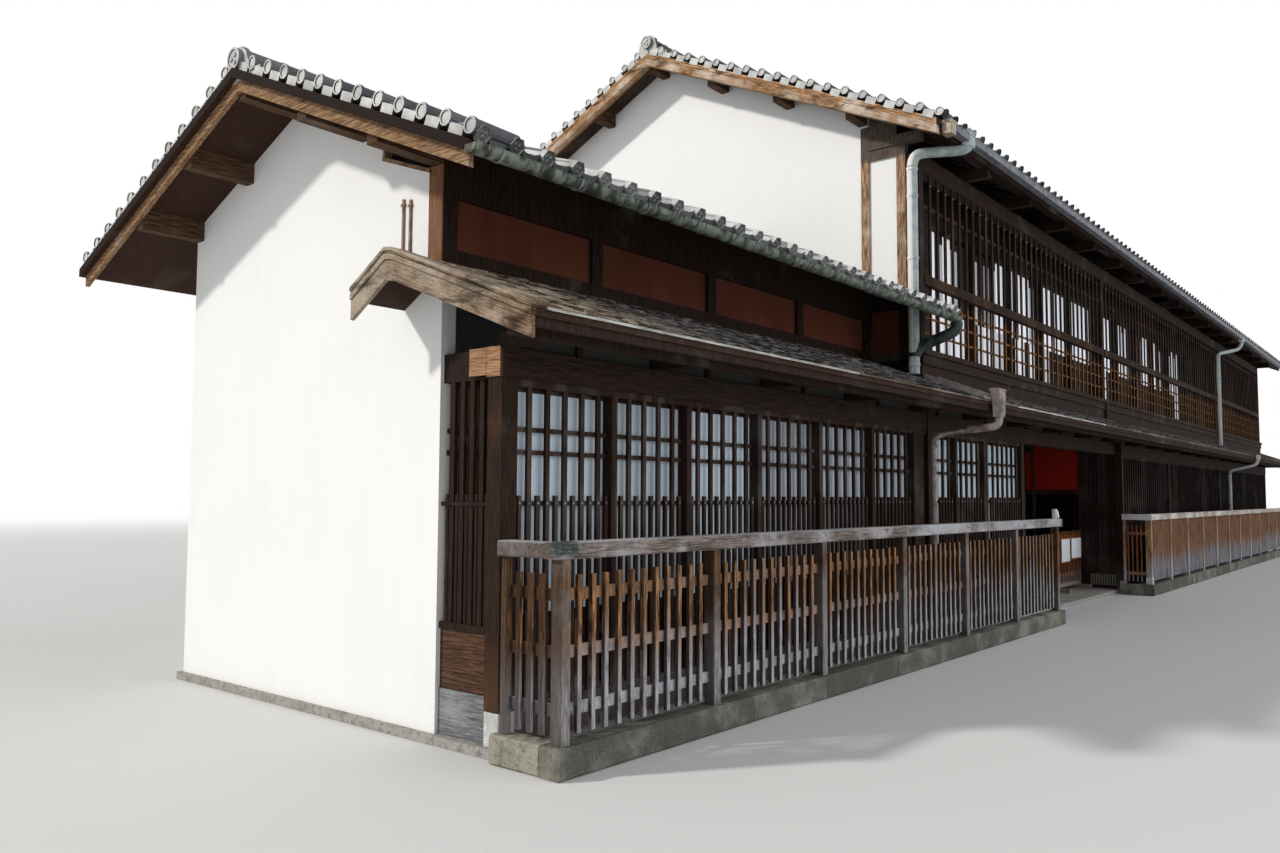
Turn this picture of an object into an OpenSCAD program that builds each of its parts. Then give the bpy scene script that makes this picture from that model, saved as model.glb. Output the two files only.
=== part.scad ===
// Machiya townhouse: low wing, two-storey main block, pent roof, lattices and street fences.
// Millimetres. X runs along the street to the right, Y into the house, Z up. The origin is at the
// ground, at the outer corner of the left front post.

/* [Plan] */
// Half of one ken, the module of posts and window bays
half_ken = 985; // [960:1:1000]
// Length of the low wing, from the left corner to the gable of the main block
wing_len = 6200; // [6150:10:6400]
// Length of the whole house at the ground floor
house_len = 31000; // [30500:10:31500]
// Distance from the lattice front to the line of the upper wall
wall_y = 600; // [560:10:640]
// Depth of the wing behind that line
wing_depth = 3380; // [3200:10:3600]
// Depth of the main block behind that line
main_depth = 5910; // [5600:10:6200]
// Side of a square post
post_w = 120; // [105:5:130]
// Thickness of the plastered walls
wall_t = 120; // [100:5:140]

/* [Ground floor] */
// Thickness of the floor and sill stones
floor_t = 60; // [50:5:80]
// Underside of the beam over the windows
beam_z = 2330; // [2300:5:2350]
// Height of that beam
beam_h = 190; // [170:5:200]
// Left edge of the entry
entry_x0 = 9530; // [9500:10:9560]
// Right edge of the entry
entry_x1 = 14100; // [14050:10:14150]

/* [Pent roof] */
// How far the pent roof stands out in front of the lattice
pent_out = 680; // [640:10:720]
// Top of its front edge
pent_edge_z = 2640; // [2620:5:2660]
// Rise over run of its slope
pent_slope = 0.387; // [0.36:0.001:0.40]
// Vertical thickness of the shingled deck
pent_t = 60; // [50:5:70]
// How far it stands out past both ends
pent_side = 400; // [350:10:450]

/* [Wing roof] */
// Height of the wing roof deck at the lattice front
wing_z0 = 3735; // [3720:5:3760]
// Rise over run of the wing roof
wing_slope = 0.43; // [0.42:0.005:0.44]
// Eave overhang in front of the lattice front
wing_eave = 330; // [300:10:360]
// Verge overhang at the left end
wing_verge_out = 620; // [580:10:640]

/* [Main roof] */
// Height of the main roof deck at the lattice front
main_z0 = 5799; // [5770:1:5830]
// Rise over run of the main roof
main_slope = 0.465; // [0.45:0.005:0.48]
// Eave overhang in front of the lattice front
main_eave = 420; // [400:10:450]
// Verge overhang at both gables
main_verge_out = 430; // [400:10:450]
// Vertical thickness of a roof deck
deck_t = 70; // [60:5:80]

/* [Lattices] */
// Bars in one bay of half a ken, in the lattice right of the entry
bars_per_bay = 6; // [5:1:6]
// Width of a street bar
bar_w = 36; // [32:2:40]
// Depth of a street bar
bar_d = 24; // [20:2:28]
// Width of a tall bar upstairs
upper_bar_w = 56; // [50:2:62]
// Depth of the bars upstairs
upper_bar_d = 18; // [16:1:22]
// Underside of the upper lattice
upper_z0 = 3200; // [3190:5:3220]
// Top of the upper lattice
upper_z1 = 5250; // [5200:10:5280]

/* [Fences] */
// Front face of the fences, in front of the lattice
fence_out = 586; // [560:2:600]
// Top of the fence rail
rail_top = 1330; // [1300:5:1350]
// Height of the curb stones
curb_h = 180; // [165:5:190]
// Distance between the posts of the left fence
fence_bay = 1500; // [1490:5:1505]
// Width of a fence picket
picket_w = 38; // [34:1:42]
// Depth of a fence picket
picket_d = 27; // [24:1:30]

/* [Hidden] */

wood_dark = "#2f2019";
wood_brown = "#4a3325";
wood_grey = "#8b8278";
plaster_white = "#f1efe9";
plaster_red = "#6e2f20";
tile_grey = "#5b5f64";
shingle_grey = "#77716a";
stone_tan = "#8d8878";
metal_grey = "#8b9891";
copper_green = "#6f8a7b";
paper_white = "#e6eaee";

upper_x1 = 30080;
module_step = 1500;
wing_rear_y = wall_y + wing_depth;
main_rear_y = wall_y + main_depth;
wing_ridge_y = wall_y + wing_depth / 2;
main_ridge_y = wall_y + main_depth / 2;
beam_top = beam_z + beam_h;
pitch = half_ken / bars_per_bay;
upper_pitch = half_ken * 2 / 9;
window_z1 = beam_z - 45;
slat_top = 1595;
pane_z0 = 840;
pane_x1 = 6057;
outlet_x = 6475;
rail_h = 98;
fence_posts = 6;

function pent_z(y) = pent_edge_z + pent_slope * (y + pent_out);
function wing_z(y) = wing_z0 + wing_slope * (wing_ridge_y - abs(y - wing_ridge_y));
function main_z(y) = main_z0 + main_slope * (main_ridge_y - abs(y - main_ridge_y));

// A block between two corners.
module block(a, b) {
    translate(a) cube(b - a);
}

// An outline of [y, z] points carried along the street from x0 to x1.
module along_x(x0, x1) {
    translate([x0, 0, 0]) rotate([90, 0, 90]) linear_extrude(x1 - x0) children();
}

// A flat lattice: upright bars on rails that lie behind them.
module lattice(x0, x1, y, z0, z1, step, w, d, rails, rail_t = 34) {
    n = round((x1 - x0) / step);
    real_step = (x1 - x0) / n;
    for (i = [0 : n])
        block([max(x0, x0 + i * real_step - w / 2), y, z0],
            [min(x1, x0 + i * real_step + w / 2), y + d, z1]);
    for (z = rails)
        block([x0, y + d, z], [x1, y + d + 22, z + rail_t]);
}

module wing_floor() {
    color(stone_tan) block([-40, -40, 0], [wing_len, wing_rear_y + 40, floor_t]);
}

module main_floor() {
    color(stone_tan) block([wing_len, -40, 0], [house_len + 40, main_rear_y + 40, floor_t]);
}

corner_post_w = 130;
mid_post_x = 6335;
mid_post_w = 140;
front_post_x = [entry_x0 - post_w, entry_x1, 18150, 23600, house_len - post_w];

// The post between the two windows laps the head beam. The right post of the entry stands forward of
// the others, and the door of the side wall closes against its back.
module front_posts() {
    entry_top = beam_top + 80;
    far_x = entry_x1 + post_w;
    color(wood_dark) {
        block([0, 0, floor_t], [corner_post_w, corner_post_w, beam_z]);
        for (i = [0, 2, 3, 4])
            block([front_post_x[i], 0, floor_t], [front_post_x[i] + post_w, post_w, beam_z]);
        block([mid_post_x, -22, floor_t], [mid_post_x + mid_post_w, post_w, beam_z]);
        block([mid_post_x, -22, beam_z], [mid_post_x + mid_post_w, -10, beam_top]);
        block([entry_x1, -110, 0], [far_x, -40, entry_top]);
        block([entry_x1, -40, floor_t], [far_x, 20, beam_z]);
        block([entry_x1, -40, beam_z], [far_x, -10, entry_top]);
        block([entry_x1 + 60, 20, floor_t], [far_x, post_w, beam_z]);
    }
}

inner_post_x = [3040, wing_len, entry_x0 - post_w, entry_x1 + post_w, 18150, 23600];

module inner_posts() {
    color(wood_dark)
        for (x = inner_post_x)
            block([x, wall_y, floor_t], [x + post_w, wall_y + post_w, 2960]);
}

module head_beam() {
    color(wood_brown) block([-10, -10, beam_z], [house_len, post_w + 10, beam_top]);
}

module frieze_boards() {
    color(plaster_white) {
        along_x(post_w, wing_len)
            polygon([[40, beam_top], [100, beam_top], [100, pent_z(100) - pent_t],
                [40, pent_z(40) - pent_t]]);
        block([wing_len, 40, beam_top], [house_len, 100, 2840]);
        block([upper_x1, 40, 2840], [house_len, 100, 2856]);
    }
}

// Street lattice of the ground floor. Runs of bars, each given by its first centre, last centre and
// number, stand between deeper mullions given by their centres. Slats up to breast height stand
// between the bars, and a board closes the foot behind them.
module street_lattice(x0, x1, runs, mullions) {
    y = 20;
    z0 = 300;
    slat_w = 30;
    mullion_w = 60;
    back = y + bar_d;
    for (run = runs) {
        step = (run[1] - run[0]) / (run[2] - 1);
        for (i = [0 : run[2] - 1])
            block([run[0] + i * step - bar_w / 2, y, z0], [run[0] + i * step + bar_w / 2, back, window_z1]);
        for (i = [0 : run[2]])
            block([run[0] + (i - 0.5) * step - slat_w / 2, y, z0],
                [run[0] + (i - 0.5) * step + slat_w / 2, back, slat_top]);
    }
    for (x = mullions)
        block([x - mullion_w / 2, y - 25, z0], [x + mullion_w / 2, back + 20, window_z1]);
    for (z = [z0, slat_top - 66, 1855, 2000])
        block([x0, back, z], [x1, back + 20, z + 31]);
    block([x0, back, 660], [x1, back + 20, 730]);
    block([x0, 70, z0], [x1, 94, pane_z0]);
    block([x0, 10, floor_t], [x1, 110, z0]);
    block([x0, 10, window_z1], [x1, 110, beam_z]);
}

// The last length of wall, beside the post between the two windows, is boarded.
module wing_lattice() {
    color(wood_dark) {
        street_lattice(corner_post_w, mid_post_x,
            [[257, 919, 5], [1251, 1760, 4], [2090, 2769, 5], [3109, 3803, 5], [4154, 4847, 5],
            [5196, 5859, 5]],
            [1056, 1930, 2926, 3970, 5034, 6027]);
        block([pane_x1, 30, floor_t], [mid_post_x, 64, beam_z]);
    }
}

module second_lattice() {
    color(wood_dark) {
        street_lattice(mid_post_x + mid_post_w, entry_x0 - post_w,
            [[6848, 7014, 2], [7387, 7902, 4], [8437, 9290, 6]], [7180]);
        block([8070, 5, 300], [8200, 64, window_z1]);
    }
}

module paper_screens() {
    color(paper_white) {
        block([corner_post_w, 82, pane_z0], [pane_x1, 94, window_z1]);
        block([mid_post_x + mid_post_w, 82, pane_z0], [entry_x0 - post_w, 94, window_z1]);
        block([wing_len + wall_t, wall_y + 102, 3450], [23400, wall_y + 114, 5085]);
    }
}

// Dark lattice right of the entry, one length between two posts.
module dark_lattice(i) {
    x0 = front_post_x[1 + i] + post_w;
    x1 = front_post_x[2 + i];
    back = 20 + bar_d;
    lattice(x0, x1, 20, 420, window_z1, pitch, 34, bar_d, [420, 900, 1380, 1855, 2000]);
    block([x0, 10, floor_t], [x1, 110, 420]);
    block([x0, 10, window_z1], [x1, 110, beam_z]);
    block([x0, back + 22, 420], [x1, 92, window_z1]);
}

module right_lattice_near() {
    color(wood_dark) {
        dark_lattice(0);
        dark_lattice(1);
    }
}

module right_lattice_far() {
    color(wood_dark) dark_lattice(2);
}

// Side of the wing behind the corner post: foot board, dark board under a bead, bars over it, and the
// end of an inner beam beside the head.
module side_panel() {
    y0 = corner_post_w;
    y1 = wall_y;
    gap = (y1 - y0) / 5;
    bead_z = 735;
    color(wood_dark) {
        block([30, y0, floor_t], [90, y1, 355]);
        block([40, y0, 355], [90, y1, bead_z]);
        block([20, y0, bead_z], [90, y1, bead_z + 41]);
        for (i = [1 : 4])
            block([30, y0 + i * gap - 20, bead_z + 41], [60, y0 + i * gap + 20, beam_z]);
        for (z = [1000, 1540, 1855])
            block([60, y0, z], [84, y1, z + 34]);
        block([30, y0, beam_z], [90, y1, beam_top]);
        block([-10, y0 + 10, beam_z + 20], [30, 300, beam_top]);
    }
}

// Right side of the entry: a barred door with a board and a slatted foot, then posts and rails around
// the plaster panels.
module entry_side_wall() {
    x0 = entry_x1 + 20;
    x1 = x0 + 80;
    door_y = 440;
    color(wood_dark) {
        block([x0, 20, floor_t], [x0 + 40, door_y, 110]);
        for (i = [0 : 9])
            block([x0 + 5, 28 + i * 42, 110], [x0 + 30, 52 + i * 42, 300]);
        block([x0, 20, 300], [x0 + 40, door_y, 620]);
        for (i = [0 : 5])
            block([x0 + 5, 40 + i * 70, 620], [x0 + 30, 70 + i * 70, beam_z]);
        block([x0 + 30, 20, 620], [x0 + 40, door_y, beam_z]);
        block([x0, post_w + 10, beam_z], [x1, door_y, beam_top]);
        block([x0, door_y, floor_t], [x1, 600, 2960]);
        block([x0, 1350, floor_t], [x1, 1380, 2960]);
        block([x0, 1500, floor_t], [x1, 1620, 2960]);
        block([x0, 600, 1650], [x1, 1350, 1730]);
        block([x0, 1380, 1650], [x1, 1500, 1730]);
        block([x0, 600, 2780], [x1, 1350, 2960]);
        block([x0, 1380, 2400], [x1, 1500, 2960]);
    }
}

module entry_red_panel() {
    x0 = entry_x1 + 40;
    color(plaster_red) {
        block([x0, 600, 1730], [x0 + 40, 1350, 2780]);
        block([x0, 1380, 1730], [x0 + 40, 1500, 2400]);
    }
}

module entry_barrier() {
    x1 = entry_x1 - 100;
    x0 = x1 - 1450;
    y = 550;
    n = 10;
    w = 24;
    step = (x1 - x0 - w) / n;
    color(wood_brown) {
        for (i = [0 : n])
            block([x0 + i * step, y, 190], [x0 + i * step + w, y + w, 1035]);
        for (z = [300, 920])
            block([x0, y + w, z], [x1, y + w + 26, z + 50]);
        for (x = [x0 + 100, x1 - 170]) {
            block([x, y - 200, floor_t], [x + 70, y + 260, 130]);
            block([x + 10, y + w + 26, 130], [x + 60, y + w + 66, 980]);
        }
        block([x0, y, 130], [x1, y + w + 66, 190]);
        block([12880, y - 12, 520], [13360, y, 930]);
        block([13420, y - 12, 560], [13990, y, 930]);
    }
}

// Shingled deck in lengths that end a joint apart. It runs back to the wall behind the wing and
// right of the upper lattice, and folds down behind the gable tip at the left end.
module pent_roof() {
    y0 = -pent_out;
    joint = 1;
    color(shingle_grey) {
        for (span = [[-pent_side, wing_len, wall_y - joint], [wing_len + joint, upper_x1, -20],
                [upper_x1 + joint, house_len + pent_side, wall_y]])
            along_x(span[0], span[1])
                polygon([[y0, pent_z(y0) - pent_t], [span[2], pent_z(span[2]) - pent_t],
                    [span[2], pent_z(span[2])], [y0, pent_z(y0)]]);
        along_x(-pent_side, 0)
            polygon([[wall_y, pent_z(wall_y) - pent_t], [wall_y + 400, pent_z(wall_y) - 220 - pent_t],
                [wall_y + 400, pent_z(wall_y) - 220], [wall_y, pent_z(wall_y)]]);
    }
}

// Gable board of the pent roof at its left end, under a cover board that lies on the shingles.
module pent_bargeboard() {
    t = 115;
    y2 = wall_y + 400;
    z2 = pent_z(wall_y) - 220;
    x0 = -pent_side - 30;
    color(wood_brown) {
        along_x(x0, -pent_side)
            polygon([[-pent_out, pent_edge_z - pent_t - 70], [wall_y, pent_z(wall_y) - pent_t - t],
                [y2, z2 - pent_t - t], [y2, z2], [wall_y, pent_z(wall_y)], [-pent_out, pent_edge_z]]);
        along_x(x0, -pent_side + 230)
            polygon([[-pent_out, pent_edge_z], [wall_y, pent_z(wall_y)], [y2, z2], [y2, z2 + 22],
                [wall_y, pent_z(wall_y) + 24], [-pent_out, pent_edge_z + 22]]);
    }
}

// Arms that reach out over the head beam, the deep purlin on their ends, short struts between them
// and the board that closes the front edge.
module pent_frame() {
    y0 = -pent_out + 15;
    y1 = y0 + 35;
    z0 = pent_z(y0) - pent_t - 62;
    purlin_y = -540;
    arm_y = -460;
    color(wood_dark) {
        for (i = [0 : round(house_len / module_step)])
            block([min(i * module_step, house_len - post_w), arm_y, beam_top],
                [min(i * module_step, house_len - post_w) + post_w, 40, beam_top + 90]);
        along_x(-pent_side, house_len + pent_side)
            polygon([[purlin_y, 2493], [arm_y, 2493], [arm_y, pent_z(arm_y) - pent_t],
                [purlin_y, pent_z(purlin_y) - pent_t]]);
        for (i = [0 : round(house_len / module_step) - 1])
            along_x(i * module_step + 690, i * module_step + 740)
                polygon([[10, beam_top], [40, beam_top], [40, min(2840, pent_z(40) - pent_t)],
                    [10, min(2840, pent_z(10) - pent_t)]]);
        along_x(-pent_side, house_len + pent_side)
            polygon([[y0, z0], [y1, z0], [y1, pent_z(y1) - pent_t], [y0, pent_z(y0) - pent_t]]);
    }
}

mezz_post_x = [0, 1480, 3030, 4590, wing_len - post_w];

module wing_front_frame() {
    color(wood_dark) {
        block([0, wall_y, 2960], [wing_len, wall_y + post_w, 3238]);
        along_x(0, wing_len)
            polygon([[wall_y, 3590], [wall_y + post_w, 3590],
                [wall_y + post_w, wing_z(wall_y + post_w) - deck_t], [wall_y, wing_z(wall_y) - deck_t]]);
        for (x = mezz_post_x)
            block([x, wall_y, 3238], [x + post_w, wall_y + post_w, 3590]);
    }
}

module wing_red_panels() {
    color(plaster_red) {
        for (i = [0 : 3])
            block([mezz_post_x[i] + post_w, wall_y + 35, 3238], [mezz_post_x[i + 1], wall_y + 85, 3590]);
        block([wing_len + 20, 245, upper_z0], [wing_len + 60, 580, 3800]);
    }
}

// Left wall of the wing, with an opening under the verge that follows the slope.
module wing_left_wall() {
    y0 = wall_y + post_w;
    color(plaster_white)
        difference() {
            union() {
                along_x(0, wall_t)
                    polygon([[y0, floor_t], [wing_rear_y, floor_t],
                        [wing_rear_y, wing_z(wing_rear_y) - deck_t],
                        [wing_ridge_y, wing_z(wing_ridge_y) - deck_t], [y0, wing_z(y0) - deck_t]]);
                block([0, wall_y, floor_t], [wall_t, y0, 2960]);
            }
            along_x(-1, wall_t + 1)
                polygon([[700, 3751], [1280, 3963], [1280, wing_z(1280)], [700, wing_z(700)]]);
        }
}

module wing_rear_wall() {
    color(plaster_white)
        along_x(wall_t, wing_len)
            polygon([[wing_rear_y - wall_t, floor_t], [wing_rear_y, floor_t],
                [wing_rear_y, wing_z(wing_rear_y) - deck_t],
                [wing_rear_y - wall_t, wing_z(wing_rear_y - wall_t) - deck_t]]);
}

// Front slope. Its eave runs on past the gable of the main block, with a notch for the downpipe.
module wing_roof_front() {
    color(tile_grey)
        for (span = [[-wing_eave, -60, 6460], [-60, 140, 6020], [140, wing_ridge_y, wing_len]])
            along_x(-wing_verge_out, span[2])
                polygon([[span[0], wing_z(span[0]) - deck_t], [span[1], wing_z(span[1]) - deck_t],
                    [span[1], wing_z(span[1])], [span[0], wing_z(span[0])]]);
}

module wing_roof_rear() {
    y1 = 2 * wing_ridge_y + wing_eave;
    color(tile_grey)
        along_x(-wing_verge_out, wing_len)
            polygon([[wing_ridge_y, wing_z(wing_ridge_y) - deck_t], [y1, wing_z(y1) - deck_t],
                [y1, wing_z(y1)], [wing_ridge_y, wing_z(wing_ridge_y)]]);
}

// Stacked ridge tiles under a round cap, sitting astride the peak of a roof.
module ridge(x0, x1, ridge_y, peak_z, slope, w, h) {
    along_x(x0, x1)
        polygon([[ridge_y - w / 2, peak_z - slope * w / 2], [ridge_y, peak_z],
            [ridge_y + w / 2, peak_z - slope * w / 2], [ridge_y + w / 2 - 20, peak_z + h],
            [ridge_y - w / 2 + 20, peak_z + h]]);
    translate([x0, ridge_y, peak_z + h]) rotate([0, 90, 0]) cylinder(h = x1 - x0, r = 60, $fn = 24);
}

module roof_ridges() {
    color(tile_grey) {
        ridge(-wing_verge_out, wing_len, wing_ridge_y, wing_z(wing_ridge_y), wing_slope, 220, 120);
        ridge(wing_len - main_verge_out, house_len + main_verge_out, main_ridge_y, main_z(main_ridge_y),
            main_slope, 240, 180);
    }
}

// Bargeboard that follows both slopes under the deck.
module bargeboard(x0, x1, ridge_y, y0, y1, z0, zr, z1, h) {
    along_x(x0, x1)
        polygon([[y0, z0 - h], [ridge_y, zr - h], [y1, z1 - h], [y1, z1], [ridge_y, zr], [y0, z0]]);
}

module bargeboards() {
    w0 = -wing_eave + 20;
    w1 = 2 * wing_ridge_y + wing_eave - 20;
    m0 = -main_eave + 20;
    m1 = 2 * main_ridge_y + main_eave - 20;
    color(wood_brown) {
        bargeboard(-wing_verge_out + 50, -wing_verge_out + 85, wing_ridge_y, w0, w1,
            wing_z(w0) - deck_t, wing_z(wing_ridge_y) - deck_t, wing_z(w1) - deck_t, 90);
        for (x = [wing_len - main_verge_out + 65, house_len + main_verge_out - 105])
            bargeboard(x, x + 40, main_ridge_y, m0, m1, main_z(m0) - deck_t, main_z(main_ridge_y) - deck_t,
                main_z(m1) - deck_t, 95);
    }
}

module upper_floor() {
    color(wood_brown) block([wing_len, 130, 2960], [house_len - wall_t, main_rear_y - wall_t, 3120]);
}

upper_post_x = [wing_len, 13470, 23300, 29970];

// Sill, posts and head of the projecting upper lattice.
module upper_frame() {
    color(wood_dark) {
        block([wing_len, -20, 2840], [upper_x1, 130, 3060]);
        block([wing_len, -40, 3060], [upper_x1, 130, upper_z0]);
        block([wing_len, -62, upper_z0 - 30], [upper_x1, -10, upper_z0 + 28]);
        for (x = upper_post_x)
            block([x, -10, upper_z0], [x + 110, 110, upper_z1]);
        block([13470, -62, 2900], [13580, -20, upper_z0]);
        block([wing_len, -10, upper_z1], [upper_x1, 130, 5440]);
    }
}

// One length of the upper lattice between two posts: tall bars over the middle rail, a lower band
// with cross rails under it.
module upper_lattice(i) {
    x0 = upper_post_x[i] + 110;
    x1 = upper_post_x[i + 1];
    color(wood_dark) {
        lattice(x0, x1, 0, 4080, upper_z1, upper_pitch, upper_bar_w, upper_bar_d, [4860]);
        block([x0, -20, 3970], [x1, 50, 4080]);
        lattice(x0, x1, 0, upper_z0 + 28, 3970, upper_pitch, 34, upper_bar_d, [3420, 3600, 3780], 22);
    }
}

module upper_lattice_a() { upper_lattice(0); }
module upper_lattice_b() { upper_lattice(1); }
module upper_lattice_c() { upper_lattice(2); }

wall_post_x = [for (i = [0 : 16]) min(wing_len + wall_t + i * module_step, house_len - wall_t - 100)];

// Wall line behind the upper lattice: dado, posts, lintel and the board over it.
module upper_wall() {
    x0 = wing_len + wall_t;
    x1 = house_len - wall_t;
    color(wood_dark) {
        block([x0, wall_y, 3120], [x1, wall_y + 100, 3450]);
        for (x = wall_post_x)
            block([x, wall_y, 3450], [x + 100, wall_y + 100, 5085]);
        along_x(x0, x1)
            polygon([[wall_y, 5085], [wall_y + 100, 5085], [wall_y + 100, main_z(wall_y + 100) - deck_t],
                [wall_y, main_z(wall_y) - deck_t]]);
        block([23400, wall_y + 30, 3450], [x1, wall_y + 60, 5085]);
    }
}

// Posts, beams and the board over them on the side of the projecting upper front.
module gable_posts() {
    x0 = wing_len - 25;
    arm_z = 5685;
    color(wood_brown) {
        block([x0, 580, 4035], [wing_len, 680, 5855]);
        block([x0, 140, 3900], [wing_len + 110, 245, 5450]);
        block([x0, 140, 5450], [wing_len + 60, 580, 5570]);
        block([x0 - 15, -50, 5570], [wing_len + 60, 580, arm_z]);
        along_x(wing_len - 20, wing_len)
            polygon([[245, arm_z], [580, arm_z], [580, main_z(580) - deck_t], [245, main_z(245) - deck_t]]);
    }
}

// Plastered gable of the main block on the line x0, from the upper floor up to the deck.
module main_gable(x0, z0) {
    y0 = wall_y;
    y1 = main_rear_y;
    along_x(x0, x0 + wall_t)
        polygon([[y0, z0], [y1, z0], [y1, main_z(y1) - deck_t], [main_ridge_y, main_z(main_ridge_y) - deck_t],
            [y0, main_z(y0) - deck_t]]);
}

// Left gable above the floor, the plaster beside the upper lattice, and the wall behind the wing.
module main_left_gable() {
    color(plaster_white) {
        main_gable(wing_len, 3120);
        block([wing_len, 245, 3800], [wing_len + 60, wall_y, 5450]);
        block([wing_len, wing_rear_y, floor_t], [wing_len + wall_t, main_rear_y, 2960]);
    }
}

module main_right_gable() {
    color(plaster_white) main_gable(house_len - wall_t, floor_t);
}

module main_rear_wall() {
    color(plaster_white)
        difference() {
            along_x(wing_len + wall_t, house_len - wall_t)
                polygon([[main_rear_y - wall_t, floor_t], [main_rear_y, floor_t],
                    [main_rear_y, main_z(main_rear_y) - deck_t],
                    [main_rear_y - wall_t, main_z(main_rear_y - wall_t) - deck_t]]);
            for (i = [0 : 5], z = [900, 3900])
                block([7700 + i * 3940, main_rear_y - wall_t - 1, z],
                    [9500 + i * 3940, main_rear_y + 1, z + 1200]);
        }
}

module rear_windows() {
    color(wood_dark)
        for (i = [0 : 5], z = [900, 3900])
            block([7700 + i * 3940, main_rear_y - 80, z], [9500 + i * 3940, main_rear_y - 40, z + 1200]);
}

module main_roof_front() {
    y0 = -main_eave;
    color(tile_grey)
        along_x(wing_len - main_verge_out, house_len + main_verge_out)
            polygon([[y0, main_z(y0) - deck_t], [main_ridge_y, main_z(main_ridge_y) - deck_t],
                [main_ridge_y, main_z(main_ridge_y)], [y0, main_z(y0)]]);
}

module main_roof_rear() {
    y1 = 2 * main_ridge_y + main_eave;
    color(tile_grey)
        along_x(wing_len - main_verge_out, house_len + main_verge_out)
            polygon([[main_ridge_y, main_z(main_ridge_y) - deck_t], [y1, main_z(y1) - deck_t],
                [y1, main_z(y1)], [main_ridge_y, main_z(main_ridge_y)]]);
}

// A purlin end under the overhang of a gable, its top cut to the slope.
module purlin_end(x0, x1, y, ridge_y, slope, deck_z, h) {
    a = y - 55;
    b = y + 55;
    za = deck_z - slope * abs(a - ridge_y);
    zb = deck_z - slope * abs(b - ridge_y);
    low = min(za, zb) - h;
    along_x(x0, x1)
        polygon(y == ridge_y ? [[a, low], [b, low], [b, zb], [y, deck_z], [a, za]]
            : [[a, low], [b, low], [b, zb], [a, za]]);
}

// Purlins that carry the overhang of both roofs out to their bargeboards.
module purlins() {
    wing_top = wing_z(wing_ridge_y) - deck_t;
    main_top = main_z(main_ridge_y) - deck_t;
    out = main_verge_out - 105;
    color(wood_brown) {
        for (k = [-2 : 2])
            purlin_end(-wing_verge_out + 85, 0, wing_ridge_y + k * (wing_depth / 2 - 60) / 2, wing_ridge_y,
                wing_slope, wing_top, 120);
        for (k = [-3 : 3]) {
            y = main_ridge_y + k * (main_depth / 2 - 60) / 3;
            purlin_end(wing_len - out, wing_len, y, main_ridge_y, main_slope, main_top, 120);
            purlin_end(house_len, house_len + out, y, main_ridge_y, main_slope, main_top, 120);
        }
    }
}

// Arms under the main eave, the purlin on their ends and the board along the edge.
module main_eave_frame() {
    x0 = wing_len - main_verge_out + 105;
    x1 = house_len + main_verge_out - 105;
    y0 = -main_eave + 20;
    py = -230;
    color(wood_dark) {
        for (i = [1 : 16])
            block([wing_len + i * module_step - 170, -300, 5440],
                [wing_len + i * module_step - 60, wall_y, 5560]);
        along_x(x0, x1)
            polygon([[py - 50, 5560], [py + 50, 5560], [py + 50, main_z(py + 50) - deck_t],
                [py - 50, main_z(py - 50) - deck_t]]);
        along_x(x0, x1)
            polygon([[y0, main_z(y0) - deck_t - 60], [y0 + 35, main_z(y0) - deck_t - 60],
                [y0 + 35, main_z(y0 + 35) - deck_t], [y0, main_z(y0) - deck_t]]);
    }
}

// Half-round gutter of the wing, and the square one of the main roof with its end box and outlet.
module gutters() {
    r = 55;
    y0 = -wing_eave - 45;
    z0 = wing_z(-wing_eave) - 45;
    y1 = -main_eave;
    z1 = main_z(-main_eave) - 10;
    depth = 80;
    x0 = wing_len - main_verge_out + 80;
    color(copper_green)
        translate([-wing_verge_out, y0, z0]) rotate([90, 0, 90])
            linear_extrude(wing_len + wing_verge_out + 150)
                difference() {
                    circle(r, $fn = 32);
                    circle(r - 5, $fn = 32);
                    translate([-r, 0]) square([2 * r, r]);
                }
    color(metal_grey) {
        along_x(x0, house_len + main_verge_out)
            polygon([[y1, z1], [y1, z1 - depth], [y1 - 90, z1 - depth], [y1 - 90, z1], [y1 - 84, z1],
                [y1 - 84, z1 - depth + 6], [y1 - 6, z1 - depth + 6], [y1 - 6, z1]]);
        block([x0, y1 - 110, z1 - 150], [x0 + 140, y1, z1]);
        block([outlet_x - 70, y1 - 100, z1 - 130], [outlet_x + 70, y1, z1]);
    }
}

module pipe(x, y, z0, z1, r = 42) {
    translate([x, y, z0]) cylinder(h = z1 - z0, r = r, $fn = 32);
}

// Swan neck from the top of a wall pipe at the point a, height z0, out to the point b under an outlet at z1.
module neck(a, b, z0, z1, r = 42) {
    q = r + 4;
    run = norm(b - a);
    bend = z0 + 0.45 * (z1 - z0);
    translate([a[0], a[1], 0]) rotate([90, 0, atan2(b[1] - a[1], b[0] - a[0])])
        translate([0, 0, -q]) linear_extrude(2 * q)
            polygon([[-q, z0 - q], [q, z0 - q], [run + q, bend - q], [run + q, z1], [run - q, z1],
                [run - q, bend + q], [-q, z0 + q]]);
}

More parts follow.
